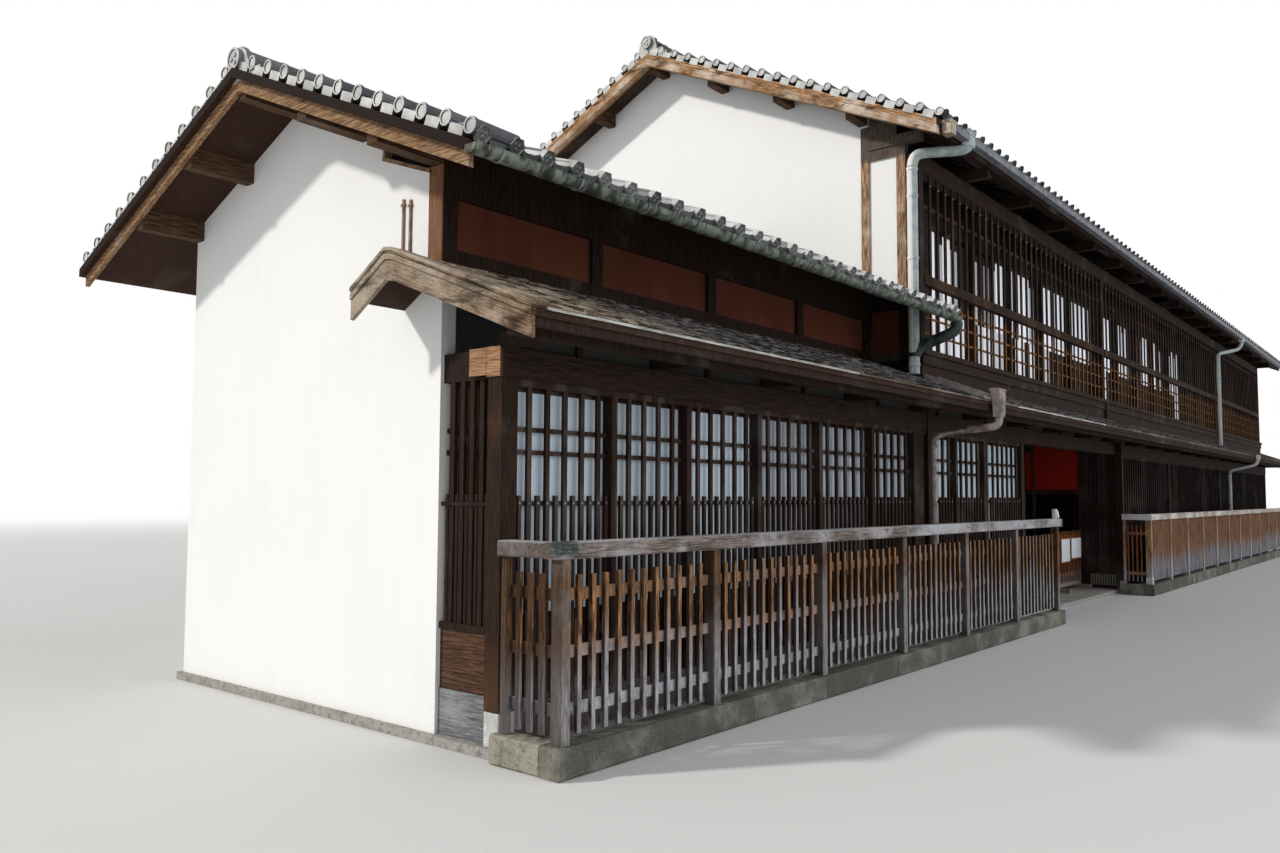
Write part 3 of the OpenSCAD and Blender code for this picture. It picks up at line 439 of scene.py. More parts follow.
@dataclass
class Finishes:
    """Every finish of the house, by the name of its record slot or its own."""

    made: dict[str, Material] = field(default_factory=dict)

    def build(self) -> None:
        """Makes the materials."""
        brown, deep = (0.070, 0.034, 0.022), (0.016, 0.010, 0.008)
        for finish in (
            Timber("dark_timber", deep, (0.055, 0.030, 0.021), foot=0.8, foot_top=0.75, side=0.3),
            Timber("beam_timber", (0.018, 0.011, 0.008), (0.062, 0.036, 0.025), axis=Axis.X, wear=0.15),
            Timber("lattice_timber", deep, brown, wear=0.2, foot=0.5, foot_top=0.7, pitch=0.0821, side=0.5),
            # Upper lattice: the orange lower band below about z 3.9 is painted light on the lower bars, and
            # the -X sides carry painted shade.
            Timber("upper_timber", (0.010, 0.006, 0.005), (0.050, 0.025, 0.016), worn=(0.40, 0.18, 0.072),
                   wear=0.12, foot=0.7, foot_top=4.22, foot_fade=0.12, pitch=0.2189, side=0.85),
            Timber("dim_timber", (0.010, 0.007, 0.006), (0.035, 0.022, 0.016), wear=0.15, pitch=0.5),
            Timber("edge_timber", (0.10, 0.050, 0.025), (0.46, 0.28, 0.15), worn=(0.56, 0.47, 0.38),
                   axis=Axis.Y, wear=0.5),
            Timber("verge_timber", (0.070, 0.030, 0.013), (0.88, 0.50, 0.25), worn=(0.98, 0.88, 0.76),
                   axis=Axis.Y, wear=0.6, check=0.8, stain=0.85, slant=0.4353, fold=MAIN_RIDGE_Y),
            # Corner post's -X face: its brown patches are partly wear and partly painted sunlit highlights.
            Timber("corner_timber", (0.012, 0.007, 0.005), (0.055, 0.028, 0.018), worn=(0.15, 0.072, 0.038),
                   wear=0.25, foot=0.7, foot_top=0.9),
            # Beam end's -X face: its bright orange is painted sunlight.
            Timber("beam_end_timber", (0.16, 0.070, 0.032), (0.66, 0.38, 0.21), worn=(0.74, 0.56, 0.40),
                   axis=Axis.Y, wear=0.4),
            # Right fence posts: their light orange is painted sunlight; the grey foot is weathering.
            Timber("right_post_timber", (0.10, 0.048, 0.024), (0.66, 0.40, 0.22), worn=(0.62, 0.60, 0.60),
                   wear=0.3, foot=0.95, foot_top=0.95, stain=0.3),
            # Right fence cap rails: their pale cream is painted sunlight.
            Timber("sunny_rail_timber", (0.20, 0.15, 0.12), (0.82, 0.74, 0.66), worn=(0.90, 0.86, 0.82),
                   axis=Axis.X, wear=0.8, check=0.7, stain=0.3),
            Timber("screen_timber", (0.020, 0.014, 0.012), (0.078, 0.050, 0.040), wear=0.15, pitch=0.25),
            Timber("purlin_timber", (0.030, 0.018, 0.012), (0.17, 0.095, 0.052), axis=Axis.X, wear=0.3),
            Timber("post_timber", (0.11, 0.055, 0.028), (0.70, 0.46, 0.27), worn=(0.90, 0.77, 0.62), wear=0.9,
                   head=5.44, stain=0.35),
            # Upper corner post's end facing: its orange is painted sunlight.
            Timber("painted_sun_facing_timber", (0.12, 0.045, 0.02), (0.46, 0.20, 0.09), wear=0.2),
            Timber("post_grey_timber", (0.036, 0.020, 0.014), (0.33, 0.175, 0.090), worn=(0.43, 0.42, 0.42),
                   wear=0.5, foot=0.85, foot_top=0.95, side=0.6, check=0.85, stain=0.5),
            Timber("picket_timber", (0.034, 0.017, 0.010), (0.66, 0.34, 0.16), worn=(0.62, 0.62, 0.66),
                   wear=0.15, foot=0.95, foot_top=1.0, foot_fade=0.45, side=0.85, check=0.85, stain=0.55),
            Timber("rail_timber", (0.060, 0.046, 0.040), (0.42, 0.34, 0.30), worn=(0.58, 0.58, 0.60),
                   axis=Axis.X, wear=0.85, side=0.45, crown=0.5, check=0.85, stain=0.4),
            # Pent edge strip: a pale batten whose brightness is partly painted sunlit highlight.
            Timber("strip_timber", (0.22, 0.20, 0.18), (0.74, 0.72, 0.68), worn=(0.80, 0.79, 0.75),
                   axis=Axis.X, wear=0.5),
            Timber("cover_timber", (0.030, 0.020, 0.014), (0.25, 0.19, 0.14), worn=(0.46, 0.41, 0.35),
                   axis=Axis.Y, wear=0.5),
            # Pent gable boards: the dark blotches are partly stains and partly painted shadows of branches.
            Timber("gable_timber", (0.036, 0.020, 0.012), (0.46, 0.31, 0.19), worn=(0.62, 0.54, 0.43),
                   axis=Axis.Y, wear=0.6, check=0.85, stain=0.75, slant=-0.3693, fold=-5.0),
            Timber("board_timber", (0.034, 0.013, 0.008), (0.42, 0.185, 0.080), worn=(0.30, 0.31, 0.345),
                   wear=0.1, foot=0.95, foot_top=0.90, foot_fade=0.35, check=0.85, stain=0.55),
            Timber("barrier_timber", (0.10, 0.032, 0.013), (0.52, 0.19, 0.070), worn=(0.38, 0.36, 0.34),
                   wear=0.1, foot=0.9, foot_top=0.68, foot_fade=0.2, pitch=0.106),
            Timber("inner_timber", (0.028, 0.011, 0.006), (0.17, 0.070, 0.028), wear=0.1),
            Timber("foot_timber", (0.10, 0.105, 0.11), (0.33, 0.35, 0.37), worn=(0.42, 0.44, 0.46),
                   axis=Axis.Y, wear=0.4),
            Timber("board_brown_timber", (0.035, 0.018, 0.011), (0.15, 0.078, 0.045), axis=Axis.Y, wear=0.15),
            Timber("door_timber", (0.014, 0.008, 0.008), (0.060, 0.026, 0.022), wear=0.1, pitch=0.07,
                   bar_axis=1),
            Timber("slat_timber", (0.16, 0.14, 0.10), (0.56, 0.52, 0.40), wear=0.2),
            Timber("soffit_timber", (0.024, 0.013, 0.009), (0.075, 0.036, 0.023), axis=Axis.Y, wear=0.1,
                   pitch=0.24, side=0.9),
            Plaster("white_plaster", (0.91, 0.91, 0.90), (0.78, 0.78, 0.78), 0.2),
            # Main left gable: a brighter copy of the white plaster; the extra brightness is painted light.
            Plaster("painted_light_gable_plaster", (0.97, 0.97, 0.965), (0.88, 0.88, 0.88), 0.15),
            Plaster("frieze_plaster", (0.060, 0.064, 0.058), (0.035, 0.035, 0.032), 0.5),
            Plaster("red_plaster", (0.155, 0.048, 0.028), (0.085, 0.028, 0.018), 0.6),
            Plaster("bright_red_plaster", (0.34, 0.018, 0.008), (0.26, 0.012, 0.006), 0.5),
            Tile("roof_tile", sun_paint=0.16),
            Tile("verge_tile"),
            # Eave ends of the main roof: a darker copy of the tile, painted shade on ends that face the
            # street.
            Tile("shaded_eave_tile", (0.016, 0.017, 0.021), (0.070, 0.073, 0.082), sun_paint=0.0),
            Shingle("shingles"),
            Stone("floor_stone", (0.40, 0.38, 0.35), (0.26, 0.25, 0.23)),
            Stone("kerb_stone", (0.34, 0.32, 0.26), (0.095, 0.090, 0.078)),
            Metal("rain_metal", (0.30, 0.37, 0.38), (0.46, 0.52, 0.50), rust_amount=0.12, shine=0.0,
                  sunny=0.9),
            Metal("copper_metal", (0.028, 0.030, 0.025), (0.19, 0.225, 0.18), rust=(0.17, 0.085, 0.045),
                  rust_amount=0.6, grain=5.0),
            Metal("hopper_metal", (0.13, 0.085, 0.075), (0.40, 0.33, 0.31), rust_amount=0.5, sunny=0.3),
            Metal("shoe_metal", (0.46, 0.47, 0.47), (0.66, 0.67, 0.67), rust_amount=0.25, shine=0.0),
            Metal("plate_metal", (0.030, 0.040, 0.042), (0.085, 0.10, 0.10), rust_amount=0.1),
            Metal("nail_metal", (0.10, 0.095, 0.09), (0.34, 0.34, 0.34), rust_amount=0.3),
            Metal("sheet_metal", (0.14, 0.145, 0.165), (0.27, 0.28, 0.31), rust_amount=0.1),
            Metal("tan_metal", (0.30, 0.24, 0.17), (0.50, 0.44, 0.35), rust_amount=0.3),
            Metal("leader_metal", (0.014, 0.022, 0.020), (0.060, 0.085, 0.074), rust_amount=0.1),
            Metal("rust_metal", (0.16, 0.085, 0.05), (0.30, 0.20, 0.14), rust_amount=0.7),
            Paper("paper"),
            Paper("upper_paper", (0.88, 0.92, 1.0), 0.45, (0.24, 0.24, 0.25)),
            Paper("notice_paper", (0.80, 0.86, 0.88), 0.10, (0.74, 0.80, 0.82)),
        ):
            self.made[finish.name] = finish.build()

    def dress(self, name: str, finish: str) -> None:
        """Gives a CAD node the finish of that name."""
        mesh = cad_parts[name].data
        mesh.materials.clear()
        mesh.materials.append(self.made[finish])


WORN_BY = {
    "floor_stone": "wing_floor main_floor",
    "dark_timber": "front_posts inner_posts side_panel pent_frame wing_front_frame upper_frame rear_windows "
                   "main_eave_frame",
    "beam_timber": "head_beam",
    "lattice_timber": "wing_lattice second_lattice",
    "upper_timber": "upper_lattice_a upper_lattice_b upper_lattice_c",
    "dim_timber": "right_lattice_near right_lattice_far upper_floor upper_wall",
    "door_timber": "entry_side_wall",
    "post_timber": "gable_posts",
    "purlin_timber": "purlins",
    "edge_timber": "pent_bargeboard bargeboards",
    "soffit_timber": "pent_roof wing_roof_front wing_roof_rear main_roof_front main_roof_rear",
    "barrier_timber": "entry_barrier fence_returns",
    "post_grey_timber": "fence_frames",
    "picket_timber": "fence_pickets",
    "board_timber": "fence_boards",
    "kerb_stone": "curb_stones",
    "frieze_plaster": "frieze_boards",
    "bright_red_plaster": "entry_red_panel",
    "red_plaster": "wing_red_panels",
    "white_plaster": "wing_left_wall wing_rear_wall main_right_gable main_rear_wall",
    "painted_light_gable_plaster": "main_left_gable",
    "paper": "paper_screens",
    "roof_tile": "roof_ridges",
    "rain_metal": "gutters rain_pipes",
}


class Form:
    """Points and faces of a piece, with a random tint for each of its parts."""

    def __init__(self, seed: int = 1) -> None:
        """Starts an empty form whose random draws follow seed."""
        self.points: list[Point] = []
        self.faces: list[tuple[int, ...]] = []
        self.tints: list[float] = []
        self.draw = random.Random(seed)

    def add(self, points: list[Point], faces: list[tuple[int, ...]], tint: float | None = None) -> None:
        """Adds one part.

        Args:
            points: Its points.
            faces: Its faces, as places in points.
            tint: Its shade from 0 to 1, random where it is None.
        """
        base = len(self.points)
        self.points += points
        self.faces += [tuple(base + i for i in face) for face in faces]
        self.tints += [self.draw.random() if tint is None else tint] * len(points)

    def box(self, low: Point, high: Point, chamfer: float = 0.0, tint: float | None = None) -> None:
        """Adds a block between two corners, its long edges cut by chamfer."""
        span = [high[i] - low[i] for i in range(3)]
        along = span.index(max(span))
        a, b = (along + 1) % 3, (along + 2) % 3
        c = min(chamfer, span[a] / 3, span[b] / 3)
        if c <= 0:
            ring = [(low[a], low[b]), (high[a], low[b]), (high[a], high[b]), (low[a], high[b])]
        else:
            ring = [(low[a] + c, low[b]), (high[a] - c, low[b]), (high[a], low[b] + c),
                    (high[a], high[b] - c),
                    (high[a] - c, high[b]), (low[a] + c, high[b]), (low[a], high[b] - c),
                    (low[a], low[b] + c)]
        points = []
        for end in (low[along], high[along]):
            for p, q in ring:
                point = [0.0, 0.0, 0.0]
                point[along], point[a], point[b] = end, p, q
                points.append(tuple(point))
        n = len(ring)
        faces = [tuple(range(n - 1, -1, -1)), tuple(range(n, 2 * n))]
        faces += [(i, (i + 1) % n, n + (i + 1) % n, n + i) for i in range(n)]
        self.add(points, faces, tint)

    def prism(self, outline: list[tuple[float, float]], x0: float, x1: float,
              tint: float | None = None) -> None:
        """Adds an outline of (y, z) points, counter-clockwise seen from +X, carried from x0 to x1."""
        n = len(outline)
        points = [(x, y, z) for x in (x0, x1) for y, z in outline]
        faces = [tuple(range(n - 1, -1, -1)), tuple(range(n, 2 * n))]
        faces += [(i, (i + 1) % n, n + (i + 1) % n, n + i) for i in range(n)]
        self.add(points, faces, tint)

    def disc(self, centre: Point, out: Vector, up: Vector, rings: list[tuple[float, float]], sides: int = 12,
             tint: float | None = None, flat: bool = False) -> None:
        """Adds a turned form on an axis.

        Args:
            centre: Where the axis starts.
            out: Unit vector along the axis.
            up: Unit vector across it.
            rings: (radius, distance along the axis) pairs from the back to the front.
            sides: Points round each ring.
            tint: Shade from 0 to 1.
            flat: Turns the ring so that a flat side is on top.
        """
        side = out.cross(up)
        points, faces = [], []
        for radius, along in rings:
            for k in range(sides):
                angle = 2 * math.pi * (k + (0.5 if flat else 0.0)) / sides
                p = Vector(centre) + out * along + (up * math.cos(angle) + side * math.sin(angle)) * radius
                points.append(tuple(p))
        for r in range(len(rings) - 1):
            for k in range(sides):
                a, b = r * sides + k, r * sides + (k + 1) % sides
                faces.append((a, a + sides, b + sides, b))
        faces.append(tuple(range(sides)))
        faces.append(tuple(range(len(rings) * sides - 1, (len(rings) - 1) * sides - 1, -1)))
        self.add(points, [tuple(reversed(f)) for f in faces], tint)

    def tube(self, path: list[Point], radius: float, sides: int = 14, tint: float | None = None) -> None:
        """Adds a round pipe along a path of points, its ends closed."""
        rings = []
        n = len(path)
        for i, p in enumerate(path):
            a = Vector(path[max(0, i - 1)])
            b = Vector(path[min(n - 1, i + 1)])
            ahead = (b - a).normalized()
            across = ahead.cross(UP)
            if across.length < 1e-3 or (rings and abs(ahead.z) > 0.999):
                across = rings[-1][1] if rings else TO_RIGHT
            across = (across - ahead * across.dot(ahead)).normalized()
            rings.append((Vector(p), across, ahead.cross(across).normalized()))
        points, faces = [], []
        for centre, u, v in rings:
            for k in range(sides):
                angle = 2 * math.pi * k / sides
                points.append(tuple(centre + (u * math.cos(angle) + v * math.sin(angle)) * radius))
        for r in range(n - 1):
            for k in range(sides):
                a, b = r * sides + k, r * sides + (k + 1) % sides
                faces.append((a, b, b + sides, a + sides))
        faces.append(tuple(range(sides - 1, -1, -1)))
        faces.append(tuple(range((n - 1) * sides, n * sides)))
        self.add(points, faces, tint)

    def mesh(self, name: str) -> bpy.types.Mesh:
        """Returns the form as a mesh with its tint attribute."""
        mesh = bpy.data.meshes.new(name)
        mesh.from_pydata(self.points, [], self.faces)
        layer = mesh.attributes.new("tint", "FLOAT", "POINT")
        layer.data.foreach_set("value", self.tints)
        mesh.update()
        return mesh

    def piece(self, name: str, finish: Material, slot: str, replaces: tuple[str,
                                                                            ...] = ()) -> bpy.types.Object:
        """Returns the form as a finished piece that rides on the house.

        Args:
            name: Name of the piece.
            finish: Its material.
            slot: Its slot in the record; not used.
            replaces: CAD nodes that it stands for.
        """
        return ride(bpy.data.objects.new(name, self.mesh(name)), finish, replaces)


def ride(made: bpy.types.Object, finish: Material,
         replaces: tuple[str, ...] = ()) -> bpy.types.Object:
    """Puts an object in the scene as a piece of the house and returns it."""
    if made.name not in bpy.context.scene.collection.objects:
        bpy.context.scene.collection.objects.link(made)
    made.data.materials.clear()
    made.data.materials.append(finish)
    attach(made, "root")
    if replaces:
        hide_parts(*replaces)
    LOG.info("%s: %d faces", made.name, len(made.data.polygons))
    return made


@dataclass
class Course:
    """Rows of copies of one shape on a slope, laid by Geometry Nodes.

    Copies run along X in columns and up the slope in rows.
    """

    name: str
    columns: int
    rows: int
    pitch: tuple[float, float]
    start: Point
    slope: float = 0.0
    turn: float = 0.0
    stagger: float = 0.0
    slide: Point = (0.0, 0.0, 0.0)
    tilt: Point = (0.0, 0.0, 0.0)
    growth: Point = (0.0, 0.0, 0.0)
    seed: int = 1

    INPUTS = (
        ("Shape", "NodeSocketObject"), ("Columns", "NodeSocketInt"), ("Rows", "NodeSocketInt"),
        ("Column pitch", "NodeSocketFloat"), ("Row pitch", "NodeSocketFloat"), ("Stagger", "NodeSocketFloat"),
        ("Slide", "NodeSocketVector"), ("Tilt", "NodeSocketVector"), ("Growth", "NodeSocketVector"),
        ("Angles", "NodeSocketRotation"), ("Start", "NodeSocketVector"), ("Seed", "NodeSocketInt"),
        ("Finish", "NodeSocketMaterial"),
    )

    @staticmethod
    def tree() -> bpy.types.NodeTree:
        """Returns the shared node tree, made on the first call."""
        found = bpy.data.node_groups.get("courses")
        if found:
            return found
        tree = bpy.data.node_groups.new("courses", "GeometryNodeTree")
        for name, kind in Course.INPUTS:
            tree.interface.new_socket(name, in_out="INPUT", socket_type=kind)
        tree.interface.new_socket("Geometry", in_out="OUTPUT", socket_type="NodeSocketGeometry")
        new, link = tree.nodes.new, tree.links.new
        given = new("NodeGroupInput").outputs

        def maths(operation: str, a: object, b: object = 0.0) -> Socket:
            """Returns a and b under a Math operation."""
            made = new("ShaderNodeMath")
            made.operation = operation
            for socket, value in zip(made.inputs, (a, b)):
                if isinstance(value, Socket):
                    link(value, socket)
                else:
                    socket.default_value = value
            return made.outputs[0]

        def scatter(reach: Socket, extra: int, middle: float) -> Socket:
            """Returns a random vector about middle, of that reach each way, for each copy."""
            low, high = new("ShaderNodeVectorMath"), new("ShaderNodeVectorMath")
            low.operation, high.operation = "SUBTRACT", "ADD"
            for made in (low, high):
                made.inputs[0].default_value = (middle,) * 3
                link(reach, made.inputs[1])
            value = new("FunctionNodeRandomValue")
            value.data_type = "FLOAT_VECTOR"
            link(low.outputs[0], value.inputs[0])
            link(high.outputs[0], value.inputs[1])
            link(maths("ADD", given["Seed"], float(extra)), value.inputs["Seed"])
            return value.outputs[0]

        index = new("GeometryNodeInputIndex").outputs[0]
        row = maths("FLOOR", maths("DIVIDE", maths("ADD", index, 0.5), given["Columns"]))
        column = maths("SUBTRACT", index, maths("MULTIPLY", row, given["Columns"]))
        odd = maths("MODULO", row, 2.0)
        place = new("ShaderNodeCombineXYZ")
        link(maths("ADD", maths("MULTIPLY", column, given["Column pitch"]),
                   maths("MULTIPLY", odd, given["Stagger"])),
             place.inputs[0])
        link(maths("MULTIPLY", row, given["Row pitch"]), place.inputs[1])
        moved = new("ShaderNodeVectorMath")
        moved.operation = "ADD"
        link(place.outputs[0], moved.inputs[0])
        link(scatter(given["Slide"], 11, 0.0), moved.inputs[1])
        points = new("GeometryNodePoints")
        link(maths("MULTIPLY", given["Columns"], given["Rows"]), points.inputs["Count"])
        link(moved.outputs[0], points.inputs["Position"])
        shape = new("GeometryNodeObjectInfo")
        link(given["Shape"], shape.inputs["Object"])
        copies = new("GeometryNodeInstanceOnPoints")
        link(points.outputs[0], copies.inputs["Points"])
        link(shape.outputs["Geometry"], copies.inputs["Instance"])
        turned = new("FunctionNodeEulerToRotation")
        link(scatter(given["Tilt"], 23, 0.0), turned.inputs[0])
        link(turned.outputs[0], copies.inputs["Rotation"])
        link(scatter(given["Growth"], 37, 1.0), copies.inputs["Scale"])
        shade = new("FunctionNodeRandomValue")
        shade.data_type = "FLOAT"
        link(maths("ADD", given["Seed"], 51.0), shade.inputs["Seed"])
        store = new("GeometryNodeStoreNamedAttribute")
        store.data_type, store.domain = "FLOAT", "INSTANCE"
        store.inputs["Name"].default_value = "tint"
        link(copies.outputs[0], store.inputs["Geometry"])
        link(shade.outputs[1], store.inputs["Value"])
        carry = new("GeometryNodeTransform")
        link(store.outputs[0], carry.inputs["Geometry"])
        link(given["Angles"], carry.inputs["Rotation"])
        link(given["Start"], carry.inputs["Translation"])
        real = new("GeometryNodeRealizeInstances")
        link(carry.outputs[0], real.inputs[0])
        coat = new("GeometryNodeSetMaterial")
        link(real.outputs[0], coat.inputs["Geometry"])
        link(given["Finish"], coat.inputs["Material"])
        link(coat.outputs[0], new("NodeGroupOutput").inputs[0])
        return tree

    def lay(self, shape: Form, finish: Material) -> bpy.types.Mesh:
        """Returns the copies as one plain mesh.

        Args:
            shape: The form that is repeated, at its own origin.
            finish: Material of every copy.
        """
        pattern = bpy.data.objects.new(self.name + "_pattern", shape.mesh(self.name + "_pattern"))
        pattern.data.attributes.remove(pattern.data.attributes["tint"])
        holder = bpy.data.objects.new(self.name + "_rows", bpy.data.meshes.new(self.name + "_rows"))
        for made in (pattern, holder):
            bpy.context.scene.collection.objects.link(made)
        modifier = holder.modifiers.new("courses", "NODES")
        modifier.node_group = self.tree()
        given = {
            "Shape": pattern, "Columns": self.columns, "Rows": self.rows, "Column pitch": self.pitch[0],
            "Row pitch": self.pitch[1], "Stagger": self.stagger, "Slide": self.slide, "Tilt": self.tilt,
            "Growth": self.growth, "Angles": (self.slope, 0.0, self.turn), "Start": self.start,
            "Seed": self.seed, "Finish": finish,
        }
        for item in modifier.node_group.interface.items_tree:
            if item.in_out == "INPUT":
                modifier[item.identifier] = given[item.name]
        holder.update_tag()
        bpy.context.view_layer.update()
        graph = bpy.context.evaluated_depsgraph_get()
        mesh = bpy.data.meshes.new_from_object(holder.evaluated_get(graph))
        mesh.name = self.name
        holder.modifiers.clear()
        for made in (pattern, holder):
            bpy.data.objects.remove(made)
        return mesh


def blocks(name: str, seed: int, finish: Material, slot: str, chamfer: float,
           *corners: tuple[Point, Point]) -> None:
    """Builds a piece from blocks, each given by its low and high corner."""
    form = Form(seed)
    for low, high in corners:
        form.box(low, high, chamfer)
    form.piece(name, finish, slot)


def join(name: str, meshes: list[bpy.types.Mesh]) -> bpy.types.Object:
    """Returns one object that holds all the meshes, with their tints."""
    points, faces, tints = [], [], []
    for mesh in meshes:
        base = len(points)
        points += [tuple(v.co) for v in mesh.vertices]
        faces += [tuple(base + i for i in p.vertices) for p in mesh.polygons]
        values = [0.5] * len(mesh.vertices)
        if "tint" in mesh.attributes:
            mesh.attributes["tint"].data.foreach_get("value", values)
        tints += values
    mesh = bpy.data.meshes.new(name)
    mesh.from_pydata(points, [], faces)
    mesh.attributes.new("tint", "FLOAT", "POINT").data.foreach_set("value", tints)
    mesh.update()
    return bpy.data.objects.new(name, mesh)


@dataclass
class TileShapes:
    """Shapes of the roof tiles, lying flat with the eave towards -Y."""

    width: float = 0.262
    reach: float = 0.235
    thick: float = 0.018

    def profile(self) -> list[tuple[float, float]]:
        """Returns the S-shaped section of a pan tile as (x, z) points from left to right."""
        out = []
        for i in range(9):
            t = i / 8
            wave = 0.030 * math.cos(2 * math.pi * (t - 0.12)) + 0.010 * math.cos(4 * math.pi * (t - 0.12))
            out.append((t * self.width * 1.02, 0.022 + wave))
        return out

    def pan(self) -> Form:
        """Returns a pan tile."""
        form = Form()
        top = self.profile()
        n = len(top)
        length = self.reach * 1.18
        rise = self.thick + 0.006
        points = [(x, 0.0, z + rise) for x, z in top] + [(x, length, z) for x, z in top]
        points += [(x, 0.0, z + rise - self.thick) for x, z in top]
        faces = [(i, i + 1, n + i + 1, n + i) for i in range(n - 1)]
        faces += [(i + 1, i, 2 * n + i, 2 * n + i + 1) for i in range(n - 1)]
        form.add(points, faces, 0.5)
        return form

    def eave(self, sides: int, drop: float, lift: float = 0.0) -> Form:
        """Returns an eave end: a disc with a raised swirl over the roll and a hanging lip over the pan.

        Args:
            sides: Corners of the disc.
            drop: Depth of the hanging lip.
            lift: How far the disc stands up and the pan lies down.
        """
        form = Form()
        pan = self.pan()
        form.add([(px, py, pz - lift) for px, py, pz in pan.points], pan.faces, 0.5)
        out, up = TO_STREET, UP
        x = self.width * 0.12
        z = 0.038 + lift
        form.disc((x, 0.01, z), out, up, [(0.052, 1.8 * lift), (0.055, 0.05), (0.046, 0.05), (0.044, 0.042)],
                  sides, 0.5,
                  flat=sides == 6)
        for k in range(3):
            angle = 2 * math.pi * k / 3 + 0.4
            form.disc((x + 0.018 * math.cos(angle), -0.030, z + 0.018 * math.sin(angle)), out, up,
                      [(0.013, 0.0), (0.010, 0.008)], 6, 0.5)
        top = [(px, pz - lift) for px, pz in self.profile()[3:]]
        lip = [(px, -0.012, pz + 0.024) for px, pz in top]
        low = [(px, -0.012, pz + 0.006 - drop * math.sin(math.pi * min(1.0, max(0.0, (i + 0.5) / len(top)))))
               for i, (px, pz) in enumerate(top)]
        back = [(px, 0.008, pz) for px, _, pz in low]
        n = len(top)
        form.add(lip + low + back, [(i + 1, i, n + i, n + i + 1) for i in range(n - 1)]
                 + [(n + i + 1, n + i, 2 * n + i, 2 * n + i + 1) for i in range(n - 1)], 0.5)
        return form

    def verge(self, cap: float) -> Form:
        """Returns a verge tile: a short barrel across the slope with a round end and a hanging tongue.

        Args:
            cap: Radius of the round end.
        """
        form = Form()
        out, up = TO_LEFT, UP
        form.disc((0.34, 0.0, cap - 0.01), out, up,
                  [(cap - 0.008, 0.0), (cap - 0.006, 0.33), (cap, 0.335), (cap, 0.36),
                   (cap - 0.011, 0.36), (cap - 0.013, 0.352)], 12, 0.5)
        form.box((0.0, 0.05, -0.02), (0.34, 0.17, 0.012), 0.0, 0.5)
        form.box((-0.018, 0.045, -0.055), (0.004, 0.175, 0.030), 0.006, 0.5)
        return form


@dataclass
class View:
    """Camera of the reference picture, as a pinhole."""

    place: Point = (-4.1724, -4.5252, 1.6066)
    yaw: float = 40.0258
    pitch: float = 3.6024
    roll: float = 0.354
    focal: float = 991.37
    centre: tuple[float, float] = (-11.10, 5.39)
    width: float = 1280.0
    sensor: float = 36.0

    def build(self) -> None:
        """Makes the camera."""
        yaw, pitch, roll = (math.radians(a) for a in (self.yaw, self.pitch, self.roll))
        ahead = Vector((math.cos(pitch) * math.cos(yaw), math.cos(pitch) * math.sin(yaw), math.sin(pitch)))
        right = Vector((math.sin(yaw), -math.cos(yaw), 0.0))
        up = right.cross(ahead)
        right, up = right * math.cos(roll) + up * math.sin(roll), up * math.cos(roll) - right * math.sin(roll)
        data = bpy.data.cameras.new("street_view")
        data.sensor_width = self.sensor
        data.lens = self.focal / self.width * self.sensor
        data.shift_x = -self.centre[0] / self.width
        data.shift_y = self.centre[1] / self.width
        data.clip_start, data.clip_end = 0.1, 500.0
        camera = bpy.data.objects.new("street_view", data)
        turn = Matrix((right, up, -ahead)).transposed().to_4x4()
        camera.matrix_world = Matrix.Translation(self.place) @ turn
        bpy.context.scene.collection.objects.link(camera)
        bpy.context.scene.camera = camera


